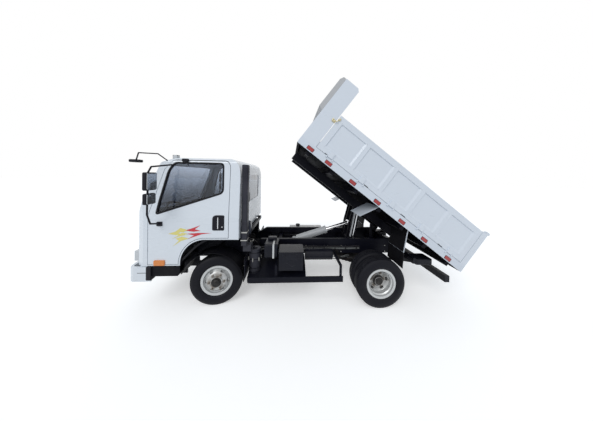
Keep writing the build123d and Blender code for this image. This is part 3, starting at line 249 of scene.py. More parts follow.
# Scuffs: thin stretched streaks where something rubbed along the surface.
scuffs, ins, outs = effect(
    "scuffs", [("Amount", "Float", 0.3), ("Streak size", "Float", 14.0)], [("Mask", "Float")])
streaks = steep(scuffs, blotches(scuffs, ins["Streak size"], 8.0, (1.0, 6.0, 9.0), (0.3, 0.9, 0.4)), 0.60, 9.0)
worn = steep(scuffs, blotches(scuffs, 3.1, 3.0), 0.45, 6.0)
feed(outs, "Mask", maths(scuffs, "MULTIPLY", maths(scuffs, "MULTIPLY", streaks, worn), ins["Amount"], True))


def use(tree, group, **values):
    """Place an effect in a material with its own values; gives its outputs."""
    holder = tree.nodes.new("ShaderNodeGroup")
    holder.node_tree = group
    for name, value in values.items():
        feed(holder, name.replace("_", " "), value)
    return holder.outputs


def finish(name, colour, roughness, metallic=0.0, coat=0.0, dust=0.3, top=0.9, patch=6.0, grain=0.1,
           fineness=400.0, scuff=0.0, bare=(0.30, 0.29, 0.28), dust_colour=ROAD_DUST, specular=0.5):
    """Paint, cast or moulded surface: a colour (or a function giving one), scuffs, dust over all, fine grain."""
    material, tree, shader = fresh(name)
    for socket, value in (("Metallic", metallic), ("Coat Weight", coat), ("Coat Roughness", 0.06),
                          ("Specular IOR Level", specular)):
        feed(shader, socket, value)
    fine = use(tree, surface_grain, Fineness=fineness)
    paint = colour(tree) if callable(colour) else colour
    if scuff:
        paint = colour_mix(tree, use(tree, scuffs, Amount=scuff)["Mask"], paint, bare)
    soiled = use(tree, road_dust, Paint=paint, Dust=dust_colour, Amount=dust, Top=top, Patch_size=patch)
    feed(shader, "Base Color", soiled["Color"])
    smear = maths(tree, "MULTIPLY", maths(tree, "SUBTRACT", fine["Smears"], 0.5), 0.35)
    dull = maths(tree, "MULTIPLY", soiled["Mask"], 0.45)
    feed(shader, "Roughness", maths(tree, "ADD", maths(tree, "ADD", smear, dull), roughness, True))
    emboss(tree, shader, fine["Height"], grain)
    return material


def dress(material, *names):
    """Give CAD nodes their finish."""
    for name in names:
        slots = nodes[name].data.materials
        slots.clear()
        slots.append(material)


def spots(x, y, z):
    """Points from three coordinates, each a number or an array."""
    return np.stack(np.broadcast_arrays(x, y, z), -1).astype(float).reshape(-1, 3)


def circle(sides):
    """The angles of so many even steps round a circle."""
    return np.linspace(0, 2 * math.pi, sides, endpoint=False)


def net(rows, cols, wrap_rows=False, wrap_cols=False):
    """Quads of a grid of rows x cols points, closed round in either way if wrapped."""
    i = np.arange(rows if wrap_rows else rows - 1)[:, None]
    j = np.arange(cols if wrap_cols else cols - 1)[None, :]
    below, beside = (i + 1) % rows, (j + 1) % cols
    return np.stack([i * cols + j, i * cols + beside, below * cols + beside, below * cols + j], -1).reshape(-1, 4)


def fan(start, sides, tip, flip):
    """Triangles from a ring of points, numbered from its start, to a tip."""
    around = np.arange(sides)
    made = np.stack([start + around, start + (around + 1) % sides, np.full(sides, tip)], -1)
    return (made[:, ::-1] if flip else made).tolist()


def merge(*shapes):
    """Several (points, faces) shapes as one."""
    points, faces, start = [], [], 0
    for shape_points, shape_faces in shapes:
        points.append(np.asarray(shape_points, float).reshape(-1, 3))
        faces += [[start + k for k in face] for face in shape_faces]
        start += len(points[-1])
    return np.concatenate(points), faces


def outward(points, faces):
    """Turn a closed shape's faces out, by the sign of the volume they enclose."""
    a, b, c, last = (points[[face[k] for face in faces]] for k in (0, 1, 2, -1))
    volume = np.sum(a * np.cross(b, c)) + np.sum(a * np.cross(c, last))
    return (points, [face[::-1] for face in faces]) if volume < 0 else (points, faces)


def turned(profile, centre, axis, sides=32, phase=0.0):
    """Lathe: each (along, radius) of the profile runs round the axis, r = radius, height = along."""
    profile = np.asarray(profile, float)
    axis = np.asarray(axis, float) / np.linalg.norm(axis)
    first = np.cross(axis, [0.0, 0.0, 1.0] if abs(axis[2]) < 0.9 else [1.0, 0.0, 0.0])
    first /= np.linalg.norm(first)
    ring = profile[profile[:, 1] > 0]
    t = circle(sides) + phase
    spoke = np.cos(t)[:, None] * first + np.sin(t)[:, None] * np.cross(axis, first)
    points = (centre + ring[:, 0, None, None] * axis + ring[:, 1, None, None] * spoke[None]).reshape(-1, 3)
    faces = net(len(ring), sides, wrap_cols=True).tolist()
    for end, row in ((0, 0), (-1, len(ring) - 1)):
        if profile[end, 1] == 0:
            faces += fan(row * sides, sides, len(points), end == 0)
            points = np.vstack([points, centre + profile[end, 0] * axis])
    return outward(points, faces)


def pipe(path, radius, sides=12):
    """A round section carried along a path; radius may change along it. Ends are closed by fans."""
    path = np.asarray(path, float)
    radius = np.broadcast_to(np.asarray(radius, float), (len(path),))
    way = np.gradient(path, axis=0)
    way /= np.linalg.norm(way, axis=1, keepdims=True)
    aside = np.cross(way, np.linalg.svd(way, full_matrices=True)[2][-1])
    aside /= np.linalg.norm(aside, axis=1, keepdims=True)
    t = circle(sides)[None, :, None]
    ring = np.cos(t) * aside[:, None] + np.sin(t) * np.cross(way, aside)[:, None]
    points = (path[:, None] + radius[:, None, None] * ring).reshape(-1, 3)
    faces = net(len(path), sides, wrap_cols=True).tolist()
    for row in (0, len(path) - 1):
        faces += fan(row * sides, sides, len(points), row == 0)
        points = np.vstack([points, path[row]])
    return outward(points, faces)


def soften(value, power):
    """Signed power: the sine and cosine of a superellipse."""
    return np.sign(value) * np.abs(value) ** power


def soft_block(centre, half, square=0.22, rows=17, cols=32, turn=None):
    """A block with rounded edges: a superquadric, |x/a|^n + |y/b|^n + |z/c|^n = 1 with n = 2 / square."""
    up = np.linspace(-math.pi / 2, math.pi / 2, rows)[1:-1, None]
    t, ring = circle(cols)[None, :], soften(np.cos(up), square)
    points = spots(ring * soften(np.cos(t), square), ring * soften(np.sin(t), square), soften(np.sin(up), square))
    points = np.vstack([points, [0, 0, -1], [0, 0, 1]]) * np.asarray(half, float)
    if turn is not None:
        points = points @ np.asarray(turn, float).T
    low = (rows - 2) * cols
    faces = net(rows - 2, cols, wrap_cols=True).tolist()
    faces += fan(0, cols, low, True) + fan(low - cols, cols, low + 1, False)
    return outward(points + np.asarray(centre, float), faces)


def hex_heads(places, axes, radius, height):
    """Hexagon bolt heads: one six-sided lathed head at each place, pointing along its axis."""
    head = [(-0.002, 0), (-0.002, radius), (0.75 * height, radius), (height, 0.84 * radius), (height, 0)]
    places = np.reshape(places, (-1, 3))
    return merge(*[turned(head, at, axis, 6, math.pi / 2)
                   for at, axis in zip(places, np.broadcast_to(axes, places.shape))])


def mirrored(shape):
    """The same shape on the other side of the truck, its faces turned back outwards."""
    points, faces = shape
    return np.asarray(points) * [1, -1, 1], [list(face)[::-1] for face in faces]


def both_sides(*shapes):
    """Shapes of the left side together with their mirror images, as one."""
    left = merge(*shapes)
    return merge(left, mirrored(left))


def piece(name, shape, body, material, sharp=35):
    """Put a shape into a mesh at the origin, smooth but for edges over the sharp angle, riding a body."""
    points, faces = shape
    mesh = bpy.data.meshes.new(name)
    mesh.from_pydata(np.asarray(points).tolist(), [], [list(face) for face in faces])
    mesh.shade_smooth()
    mesh.set_sharp_from_angle(angle=math.radians(sharp))
    mesh.materials.append(material)
    made = add(name, mesh)
    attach(made, body)
    return made


black_frame_paint = finish("black_frame_paint", (0.0045, 0.005, 0.010), 0.42, dust=0.06, patch=5.0, grain=0.12,
                           scuff=0.4, bare=(0.045, 0.045, 0.055), dust_colour=(0.07, 0.066, 0.062), specular=0.12)
dress(black_frame_paint, "frame", "subframe", "chassis_mounts", "tow_jaw", "side_guards")
zinc = finish("zinc_bolts", (0.42, 0.42, 0.40), 0.38, metallic=0.9, dust=0.5, top=1.4, patch=30.0, fineness=900.0)
RAIL_WEB_Y, RAIL_MID_Z, ROW_Z = 0.375, 0.705, 0.055
web_bolts = [[x, -RAIL_WEB_Y, RAIL_MID_Z + dz]
             for x in (-0.80, -0.30, 0.42, 0.90, 1.46, 1.86, 2.12, 2.96, 3.10) for dz in (-ROW_Z, ROW_Z)]
rail_bolts = hex_heads(truck(web_bolts), (0, -1, 0), 0.011, 0.009)
piece("rail_bolts", both_sides(rail_bolts), "chassis", zinc)

# Pipes and the wiring bundle run along the left web, held by clips at a hand's
# pitch: two thin brake pipes and one taped bundle of wires above them.
pipe_black = finish("nylon_pipe", (0.010, 0.010, 0.014), 0.3, dust=0.06, specular=0.3, top=1.2, fineness=900.0)
pipe_grey = finish("coated_pipe", (0.16, 0.17, 0.17), 0.35, dust=0.2, top=1.2, fineness=900.0)
LOOM_Y = -RAIL_WEB_Y - 0.016


def rail_line(z, dip):
    """A pipe's way along the rail: level, with a slow wave of the given dip between clips."""
    x = np.linspace(0.50, 2.46, 60)
    return truck(spots(x, LOOM_Y, z + dip * np.cos(x * 15.7)))


piece("wiring_bundle", pipe(rail_line(0.752, 0.003), 0.013), "chassis", pipe_black)
brake_pipes = [pipe(rail_line(z, 0.0015), 0.0055, 8) for z in (0.722, 0.706)]
piece("brake_pipes", merge(*brake_pipes), "chassis", pipe_grey)
clips = [soft_block(truck([x, LOOM_Y, 0.732]), (0.009, 0.018, 0.040), 0.35, 9, 16)
         for x in np.arange(0.60, 2.45, 0.20)]
piece("pipe_clips", merge(*clips), "chassis", pipe_black)

# Painted shade: flat black sheets on the rails that stand in for the shade seen through the gaps
# around engine, wheel arch, cab corner and side guards. One stands upright on each side of the engine,
# two close the wheel arch, one closes the cab's rear corner, and one slopes behind each side guard.
GUARD_SLOPE = 0.38
fall, run = math.sin(GUARD_SLOPE), math.cos(GUARD_SLOPE)
slope = [[1, 0, 0], [0, run, -fall], [0, fall, run]]
shields = [soft_block(truck(centre), half, 0.1, 9, 24, turn) for centre, half, turn in (
    ([0.0, -0.418, 0.835], (0.44, 0.004, 0.232), None), ([-0.53, -0.418, 0.555], (0.12, 0.004, 0.125), None),
    ([-0.645, -0.620, 0.560], (0.150, 0.004, 0.140), None), ([0.488, -0.735, 0.615], (0.008, 0.165, 0.145), None),
    ([0.97, -0.640, 0.538], (0.46, 0.255, 0.004), slope))]
piece("painted_shade_sheets", both_sides(*shields), "chassis", black_frame_paint)

# Axles, leaf springs and the drive line: forged and cast iron left raw or dip
# painted, held by U-bolts round the springs. Oil and dust leave them brown-black.
cast_iron = finish("cast_iron", (0.007, 0.007, 0.009), 0.5, specular=0.15, dust=0.14, top=1.0, patch=7.0, grain=0.5,
                   fineness=260.0, scuff=0.4, bare=(0.16, 0.10, 0.06))
spring_steel = finish("spring_steel", (0.007, 0.0065, 0.008), 0.45, specular=0.15, dust=0.14, patch=9.0, grain=0.3,
                      scuff=0.8, bare=(0.15, 0.08, 0.045))
burnt_steel = finish("burnt_steel", (0.13, 0.085, 0.060), 0.65, metallic=0.4, dust=0.45, patch=14.0, grain=0.35,
                     scuff=0.9, bare=(0.22, 0.11, 0.055))
dress(cast_iron, "engine", "gearbox", "knuckle_left", "knuckle_right", "front_axle", "rear_axle")
dress(spring_steel, "leaf_springs")
dress(burnt_steel, "muffler")

# Steel disc wheels in silver paint, browned round the hub by brake dust, with six
# nuts and a black hub cap. They turn on the hubs; rear wheels are bolted in pairs.
joint_of = {joint["name"]: joint for joint in frame["record"]["behaviour"]["joints"]}
UP = np.array([0.0, 0.0, 1.0])


def wheel_frame(place):
    """Centre of a wheel, its outward axis, and the direction ahead of it."""
    joint = joint_of[place + "_spin"]
    axis = np.array(joint["axis"], float)
    out = axis / np.linalg.norm(axis) * np.sign(axis[1]) * (-1 if place.endswith("left") else 1)
    ahead = np.cross(UP, out)
    return np.array(joint["pos_m"], float), out, ahead / np.linalg.norm(ahead)


def spokes(count, ahead):
    """So many unit directions round a wheel, the first one ahead."""
    t = circle(count)[:, None]
    return np.cos(t) * ahead + np.sin(t) * UP


def measured(tree, origin, operation, direction=(0, 0, 0)):
    """The object coordinate's LENGTH from an origin, or its DOT_PRODUCT with a direction."""
    shift, result = (tree.nodes.new("ShaderNodeVectorMath") for step in range(2))
    shift.operation, result.operation = "SUBTRACT", operation
    feed(shift, 0, tree.nodes.new("ShaderNodeTexCoord").outputs["Object"])
    feed(shift, 1, tuple(origin))
    feed(result, 0, shift.outputs[0])
    feed(result, 1, tuple(direction))
    return result.outputs["Value"]


def rim_paint(name, centre, out):
    """Silver wheel paint with brake-dust grime that thickens towards the hub and in streaks round it."""
    material, tree, shader = fresh(name)
    feed(shader, "Metallic", 0.35)
    along, length = measured(tree, centre, "DOT_PRODUCT", out), measured(tree, centre, "LENGTH")
    square = maths(tree, "SUBTRACT", maths(tree, "MULTIPLY", length, length), maths(tree, "MULTIPLY", along, along))
    near_hub = steep(tree, maths(tree, "SQRT", maths(tree, "MAXIMUM", square, 0.0)), 0.185, -9.0)
    patchy = steep(tree, blotches(tree, 11.0, 6.0), 0.36, 3.2)
    grime = maths(tree, "MULTIPLY", maths(tree, "MULTIPLY", near_hub, patchy), 0.85, True)
    speckle = maths(tree, "MULTIPLY", steep(tree, blotches(tree, 60.0, 4.0), 0.60, 3.0), 0.5, True)
    silver = colour_mix(tree, speckle, (0.60, 0.61, 0.61), (0.36, 0.35, 0.33))
    feed(shader, "Base Color", colour_mix(tree, grime, silver, (0.165, 0.125, 0.085)))
    feed(shader, "Roughness", maths(tree, "ADD", maths(tree, "MULTIPLY", grime, 0.4), 0.36, True))
    emboss(tree, shader, blotches(tree, 420.0, 2.0), 0.15)
    return material


def eased(stops, count=40):
    """A smooth path through its stops: Catmull-Rom cubics, worked out at once for every point."""
    stops = np.asarray(stops, float)
    ends = np.vstack([2 * stops[0] - stops[1], stops, 2 * stops[-1] - stops[-2]])
    at = np.linspace(0, len(stops) - 1 - 1e-9, count)
    k = at.astype(int)
    f = (at - k)[:, None]
    p0, p1, p2, p3 = (ends[k + step] for step in range(4))
    return 0.5 * (2 * p1 + (p2 - p0) * f + (2 * p0 - 5 * p1 + 4 * p2 - p3) * f ** 2
                  + (3 * p1 - p0 - 3 * p2 + p3) * f ** 3)


hub_black = finish("hub_black", (0.009, 0.009, 0.010), 0.4, specular=0.3, dust=0.15, top=0.8, patch=22.0, grain=0.3,
                   scuff=0.7, bare=(0.10, 0.07, 0.05))
nut_steel = finish("nut_steel", (0.33, 0.30, 0.27), 0.42, metallic=0.85, dust=0.5, patch=40.0, fineness=900.0)
STUD_R = 0.111
# Per wheel: its body, the nuts' seat and the hub cap's foot along the axis, and the cap's radius.
FRONT, TWIN = (0.103, 0.122, 0.057), (0.042, 0.088, 0.070)
WHEELS = {"front_left": ("wheel_front_left", *FRONT), "front_right": ("wheel_front_right", *FRONT),
          "rear_left": ("wheels_rear_left", *TWIN), "rear_right": ("wheels_rear_right", *TWIN)}
for place, (body, face, foot, cap_r) in WHEELS.items():
    centre, out, ahead = wheel_frame(place)
    dress(rim_paint("silver_" + place, centre, out), body)
    flange_r = cap_r + 0.016
    cap = [(foot, 0), (foot, flange_r), (foot + 0.006, flange_r), (foot + 0.009, cap_r), (foot + 0.030, cap_r - 0.003),
           (foot + 0.039, cap_r - 0.012), (foot + 0.0405, cap_r * 0.45), (foot + 0.046, cap_r * 0.40),
           (foot + 0.047, 0)]
    cap_bolts = hex_heads(centre + (foot + 0.006) * out + (cap_r + 0.008) * spokes(8, ahead), out, 0.0055, 0.005)
    piece("hub_cap_" + place, merge(turned(cap, centre, out, 40), cap_bolts), body, hub_black)
    nuts = centre + STUD_R * spokes(6, ahead)
    collar = [(face, 0), (face, 0.021), (face + 0.004, 0.021), (face + 0.006, 0.018), (face + 0.006, 0)]
    stud = [(face, 0), (face, 0.008), (face + 0.044, 0.008), (face + 0.047, 0.006), (face + 0.047, 0)]
    valve = [centre + (rise + face * 0.4) * out + reach * ahead
             for rise, reach in ((0.05, 0.165), (0.075, 0.172), (0.098, 0.178))]
    bolting = [turned(collar, at, out, 16) for at in nuts] + [turned(stud, at, out, 10) for at in nuts]
    piece("wheel_nuts_" + place, merge(hex_heads(nuts + (face + 0.004) * out, out, 0.0165, 0.028),
                                       pipe(eased(valve, 10), 0.0045, 8), *bolting), body, nut_steel)

# Tyres: black radial truck tyres with four zigzag grooves, fine sipes across the
# ribs and ridged sidewalls, mounted on the rims. Dust greys the sidewalls.
tyre_rubber = finish("tyre_rubber", (0.0055, 0.0058, 0.0095), 0.5, dust=0.16, top=0.6, patch=9.0, grain=0.25,
                     fineness=240.0, dust_colour=(0.038, 0.036, 0.036), specular=0.16)
TYRE_R, BEAD_R, BEAD_Y, SHOULDER_R, TREAD_Y = 0.3875, 0.2326, 0.0696, 0.3795, 0.0720
AROUND, ZIGZAGS, SIPES = 480, 48, 96
# Across the tread: each groove's middle, its half width and the swing of its zigzag.
GROOVES = ((-0.046, 0.0042, 0.0030), (-0.016, 0.0048, 0.0036), (0.016, 0.0048, -0.0036), (0.046, 0.0042, -0.0030))
# The sidewall from the bead out: radius beyond the bead, and width beyond it.
SIDE_R = np.array([0.0, 0.004, 0.010, 0.022, 0.036, 0.052, 0.070, 0.088, 0.104, 0.118, 0.129, 0.138]) + BEAD_R
SIDE_W = np.array([0.0, 0.010, 0.019, 0.0262, 0.0296, 0.0312, 0.0308, 0.0288, 0.0256, 0.0216, 0.0166, 0.0110]) + BEAD_Y


def hoop(rings):
    """Closed sections joined one to the next, and the last one to the first."""
    rings = np.asarray(rings, float)
    return outward(rings.reshape(-1, 3), net(rings.shape[0], rings.shape[1], True, True).tolist())


def tyre_surface(centre, out, ahead):
    """One tyre: a closed section carried round the wheel's axis.

    The section is (radius, axial) from bead to bead, bulging to the full width
    at mid sidewall. Inside the tread the radius drops by the groove depth where
    the axial place lies in a groove, whose middle swings by a triangle wave of
    the angle, and a little at each sipe. Sidewall rings add 1 mm ridges.
    """
    tread_y = np.linspace(TREAD_Y, -TREAD_Y, 45)
    tread_r = TYRE_R - 0.0125 * (tread_y / TREAD_Y) ** 4 - 0.0008
    r = np.concatenate([[BEAD_R - 0.024], SIDE_R, [SHOULDER_R], tread_r, [SHOULDER_R], SIDE_R[::-1], [BEAD_R - 0.024]])
    y = np.concatenate([[BEAD_Y], SIDE_W, [0.0750], tread_y, [-0.0750], -SIDE_W[::-1], [-BEAD_Y]])
    t = circle(AROUND)[:, None]
    zig = np.abs((t / (2 * math.pi) * ZIGZAGS) % 1.0 * 2 - 1) * 2 - 1
    off_sipe = np.abs((t / (2 * math.pi) * SIPES) % 1.0 - 0.5)
    grooved = np.zeros((AROUND, len(y)))
    for middle, width, swing in GROOVES:
        off = np.abs(y - middle - swing * zig)
        grooved = np.maximum(grooved, np.clip((width - off) / 0.0016, 0, 1) * 0.0095)
    sipe = (off_sipe < 0.15) & (np.abs(y) < 0.0725) & (np.abs(y) > 0.051)
    radius = r - np.maximum(grooved, sipe * 0.0060) * ((np.abs(y) < 0.0725) & (r > 0.36))
    ring = np.isclose(r, BEAD_R + 0.036) | np.isclose(r, BEAD_R + 0.104)
    lug = (off_sipe < 0.2) & np.isclose(r, BEAD_R + 0.138)
    width = y + np.sign(y) * (ring * 0.0013 - lug * 0.0025)
    spoke = (np.cos(t) * ahead + np.sin(t) * UP)[:, None]
    return hoop(centre + width[..., None] * out + radius[..., None] * spoke)


for tyre, place, offsets in (("tyre_front_left", "front_left", (0.0,)), ("tyre_front_right", "front_right", (0.0,)),
                             ("tyres_rear_left", "rear_left", (-0.115, 0.115)),
                             ("tyres_rear_right", "rear_right", (-0.115, 0.115))):
    centre, out, ahead = wheel_frame(place)
    tread = merge(*[tyre_surface(centre + off * out, out, ahead) for off in offsets])
    made = piece("tread_" + place, tread, WHEELS[place][0], tyre_rubber, sharp=30)
    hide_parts(tyre)

# Side guards, tanks and battery box hang off the rails on brackets: black boxes
# with a bright lid edge or a steel strap, a bare aluminium fuel tank held by two
# straps over rubber, and a painted air tank with its fittings.
tank_metal = finish("tank_metal", (0.40, 0.41, 0.42), 0.36, metallic=0.85, dust=0.45, top=1.0, patch=10.0, grain=0.12,
                    fineness=120.0, scuff=0.5, bare=(0.55, 0.55, 0.55))
strap_steel = finish("strap_steel", (0.50, 0.51, 0.52), 0.34, metallic=0.8, dust=0.25, top=1.1, patch=18.0,
                     fineness=700.0)
box_black = finish("box_black", (0.005, 0.006, 0.012), 0.28, specular=0.18, dust=0.05, top=1.1, patch=7.0, grain=0.2,
                   fineness=300.0, scuff=0.4, bare=(0.09, 0.09, 0.10))
dress(tank_metal, "fuel_tank")
dress(box_black, "battery_box", "air_tank", "under_run_bar")


def band(low, high, at, width, thick=0.0022):
    """A flat strap round a box's section: the section's rounded outline offset by its thickness.

    The outline is a superellipse |u/a|^8 + |v/b|^8 = 1 through the box's corners
    in Y and Z, swept along X by the strap's width.
    """
    low, high, t = np.array(low), np.array(high), circle(72)
    mid, half = (low + high) / 2, (high - low) / 2
    return hoop([spots(x, mid[1] + (half[1] + grow) * soften(np.cos(t), 0.25),
                       mid[2] + (half[2] + grow) * soften(np.sin(t), 0.25))
                 for grow, x in ((0.0, at), (thick, at), (thick, at + width), (0.0, at + width))])


low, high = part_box("battery_box")
lid = soft_block(((low[0] + high[0]) / 2, (-0.905 - 0.600) / 2, 0.862), (0.197, 0.161, 0.014), 0.12)
lid_edge = pipe(np.linspace([low[0] - 0.004, -0.912, 0.852], [high[0] + 0.004, -0.912, 0.852], 4), 0.005, 8)
piece("battery_lid", merge(lid, lid_edge), "chassis", box_black)
catches = [soft_block((low[0] + x, -0.912, 0.835), (0.018, 0.008, 0.030), 0.3, 9, 20) for x in (0.07, 0.305)]
piece("battery_catches", merge(*catches), "chassis", box_black)
dryer = merge(soft_block(truck([0.866, -0.640, 0.842]), (0.110, 0.155, 0.108), 0.14),
              soft_block(truck([0.866, -0.560, 0.965]), (0.075, 0.050, 0.030), 0.4))
piece("dryer_box", dryer, "chassis", box_black)
dryer_strap = merge(soft_block(truck([0.905, -0.799, 0.842]), (0.014, 0.0035, 0.112), 0.1),
                    soft_block(truck([0.905, -0.660, 0.953]), (0.014, 0.140, 0.003), 0.1))
piece("dryer_strap", dryer_strap, "chassis", strap_steel)

low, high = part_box("fuel_tank")
straps = [band(low, high, at, 0.045) for at in (low[0] + 0.13, high[0] - 0.175)]
piece("fuel_straps", merge(*straps), "chassis", strap_steel)
fuel_cap = turned([(0, 0), (0, 0.045), (0.018, 0.045), (0.020, 0.052), (0.040, 0.052), (0.046, 0.044), (0.046, 0)],
                  np.array([low[0] + 0.20, high[1] - 0.12, high[2] - 0.002]), UP, 28)
piece("fuel_cap", fuel_cap, "chassis", box_black)

# Behind the cab the intake duct drops to the engine: a corrugated rubber hose and
# two thinner coolant hoses, with worm clamps where they push over their spigots.
hose_rubber = finish("hose_rubber", (0.006, 0.006, 0.009), 0.34, specular=0.16, dust=0.05, top=1.2, patch=10.0,
                     grain=0.2, fineness=300.0)


def bellows(stops, radius, ridge, pitch, count):
    """A hose whose radius swings by a sine of the way along it, so that it looks ribbed."""
    path = eased(stops, count)
    along = np.concatenate([[0], np.cumsum(np.linalg.norm(np.diff(path, axis=0), axis=1))])
    return pipe(path, radius + ridge * np.sin(along / pitch * 2 * math.pi), 18)


duct = truck([[0.452, -0.700, 0.56], [0.470, -0.680, 0.66], [0.500, -0.600, 0.72], [0.560, -0.520, 0.73],
              [0.600, -0.430, 0.76], [0.560, -0.330, 0.86]])
coolant = truck([[0.430, -0.470, 0.93], [0.520, -0.480, 0.90], [0.580, -0.460, 0.83], [0.560, -0.430, 0.72],
                 [0.480, -0.400, 0.60], [0.300, -0.345, 0.55]])
heater = truck([[0.420, -0.560, 0.96], [0.500, -0.575, 0.92], [0.545, -0.560, 0.84], [0.520, -0.520, 0.74],
                [0.420, -0.420, 0.62], [0.260, -0.345, 0.60]])
piece("intake_bellows", bellows(duct, 0.047, 0.0055, 0.024, 200), "chassis", hose_rubber)
coolant_hoses = merge(pipe(eased(coolant, 60), 0.021, 14), pipe(eased(heater, 60), 0.012, 12))
piece("coolant_hoses", coolant_hoses, "chassis", hose_rubber)
worm = [pipe(np.linspace(at - 0.006 * np.array(way), at + 0.006 * np.array(way), 3), radius, 20)
        for at, way, radius in ((duct[0] + [0, 0, 0.02], (0.17, 0.2, 0.96), 0.0545),
                                (coolant[1], (0.85, 0.0, -0.5), 0.0235), (heater[1], (0.8, 0.0, -0.55), 0.0142))]
piece("hose_clamps", merge(*worm), "chassis", zinc)

# Brake and cable lines leave the bundle at the hoist and hang in slack curves to
# the rear axle, tied to the spring hanger; they are fixed at both ends.
lines = [pipe(eased(truck(stops), 50), radius, 8) for stops, radius in (
    ([[1.78, -0.392, 0.75], [1.86, -0.41, 0.70], [1.94, -0.40, 0.60], [2.06, -0.36, 0.53], [2.28, -0.30, 0.56]], 0.006),
    ([[1.70, -0.392, 0.72], [1.80, -0.43, 0.66], [1.92, -0.42, 0.56], [2.08, -0.34, 0.50], [2.32, -0.24, 0.52]],
     0.0075),
    ([[1.60, -0.392, 0.70], [1.66, -0.44, 0.60], [1.78, -0.45, 0.545], [1.92, -0.40, 0.54], [2.10, -0.30, 0.58]],
     0.005))]
piece("axle_lines", merge(*lines), "chassis", pipe_grey)

# Rear lights: a black housing behind the rails with a red, an amber and a clear
# lens of ribbed plastic, on a bracket.


def lens(name, colour, rough):
    """Ribbed moulded plastic under a clear coat: a wave darkens the ribs and lifts their bump."""
    material, tree, shader = fresh(name)
    feed(shader, "Coat Weight", 0.6)
    feed(shader, "Coat Roughness", 0.04)
    wave = tree.nodes.new("ShaderNodeTexWave")
    wave.bands_direction = "DIAGONAL"
    feed(wave, "Vector", tree.nodes.new("ShaderNodeTexCoord").outputs["Object"])
    feed(wave, "Scale", 45.0)
    ribs = wave.outputs["Fac"]
    feed(shader, "Base Color", colour_mix(tree, ribs, tuple(part * 0.72 for part in colour), colour))
    feed(shader, "Roughness", maths(tree, "ADD", maths(tree, "MULTIPLY", ribs, 0.1), rough))
    emboss(tree, shader, ribs, 0.25, 0.001)
    return material


def pair(name, shape, body, material, sharp=35):
    """A left piece and its mirror image; left turns into right in the piece's and the body's name."""
    piece(name, shape, body, material, sharp)
    piece(name.replace("left", "right"), mirrored(shape), body.replace("left", "right"), material, sharp)


lens_red = lens("lens_red", (0.42, 0.012, 0.014), 0.16)
lens_amber = lens("lens_amber", (0.80, 0.235, 0.022), 0.2)
lens_clear = lens("lens_clear", (0.62, 0.65, 0.68), 0.08)
dress(box_black, "tail_lamps")
piece("lamp_brackets", both_sides(soft_block(truck([3.40, -0.700, 0.655]), (0.145, 0.115, 0.052), 0.2)), "chassis",
      box_black)
low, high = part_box("tail_lamps")
for material, y, half in ((lens_red, -0.727, 0.052), (lens_amber, -0.655, 0.025), (lens_clear, -0.602, 0.022)):
    window = soft_block((high[0] + 0.001, y, (low[2] + high[2]) / 2), (0.009, half, 0.037), 0.18)
    pair(material.name + "_rear_left", window, "chassis", material)

# Cab: pressed steel panels spot welded into one shell, in white enamel with a
# little orange peel; the two doors hang in it on rubber seals.
cab_white = finish("cab_white", (0.70, 0.745, 0.80), 0.28, coat=0.35, dust=0.22, top=1.0, patch=3.5, grain=0.05,
                   fineness=320.0, dust_colour=(0.47, 0.44, 0.40))
arch_black = finish("arch_black", (0.004, 0.0042, 0.007), 0.5, specular=0.10, dust=0.05, top=1.0, patch=8.0,
                    grain=0.5, fineness=380.0)
moulded_black = finish("moulded_black", (0.007, 0.007, 0.012), 0.45, specular=0.18, dust=0.04, top=1.3, patch=7.0,
                       grain=0.4, fineness=520.0)
trim_grey = finish("trim_grey", (0.13, 0.135, 0.14), 0.6, dust=0.1, top=1.3, grain=0.5, fineness=460.0)
dress(cab_white, "cab_shell", "door_left", "door_right", "bumper")
dress(moulded_black, "mirrors_left", "mirrors_right", "cab_fittings", "grille")
dress(arch_black, "cab_steps", "front_mudguards")
dress(trim_grey, "cab_floor", "dashboard")
# Window rubbers: a thick black moulding pressed round each door glass, and a flat
# sponge seal glued to the cab round each door's opening.
SIDE_Y, BELT_Z, LEAN = 0.930, 1.400, 0.0774


def side_face(z, proud=0.0):
    """Y of the cab's left face: upright to the belt, then leaning in by the lean times the height."""
    return -(SIDE_Y - LEAN * np.maximum(np.asarray(z, float) - BELT_Z, 0.0)) - proud


def rounded(corners, radii, arc=9):
    """A closed outline with each corner cut to a quadratic curve between points a radius away from it."""
    corners = np.asarray(corners, float)
    radii = np.broadcast_to(radii, len(corners))[:, None]
    before, after = np.roll(corners, 1, 0) - corners, np.roll(corners, -1, 0) - corners
    start = corners + before / np.linalg.norm(before, axis=1, keepdims=True) * radii
    stop = corners + after / np.linalg.norm(after, axis=1, keepdims=True) * radii
    f = np.linspace(0, 1, arc)[None, :, None]
    curve = (1 - f) ** 2 * start[:, None] + 2 * f * (1 - f) * corners[:, None] + f ** 2 * stop[:, None]
    return curve.reshape(-1, 2)


def winding(outline):
    """Twice the area an outline encloses, positive where it runs counter-clockwise."""
    after = np.roll(outline, -1, 0)
    return np.sum(outline[:, 0] * after[:, 1] - outline[:, 1] * after[:, 0])


def rim_of(outline, grow):
    """An outline moved outwards by a distance along its own normals."""
    way = np.roll(outline, -1, 0) - np.roll(outline, 1, 0)
    normal = np.stack([way[:, 1], -way[:, 0]], -1) / np.linalg.norm(way, axis=1, keepdims=True)
    return outline + normal * grow * np.sign(winding(outline))


def on_side(outline, grow, proud):
    """An outline grown by a distance and laid on the cab's left side, standing proud of it."""
    flat = rim_of(outline, grow)
    return truck(spots(flat[:, 0], side_face(flat[:, 1], proud), flat[:, 1]))


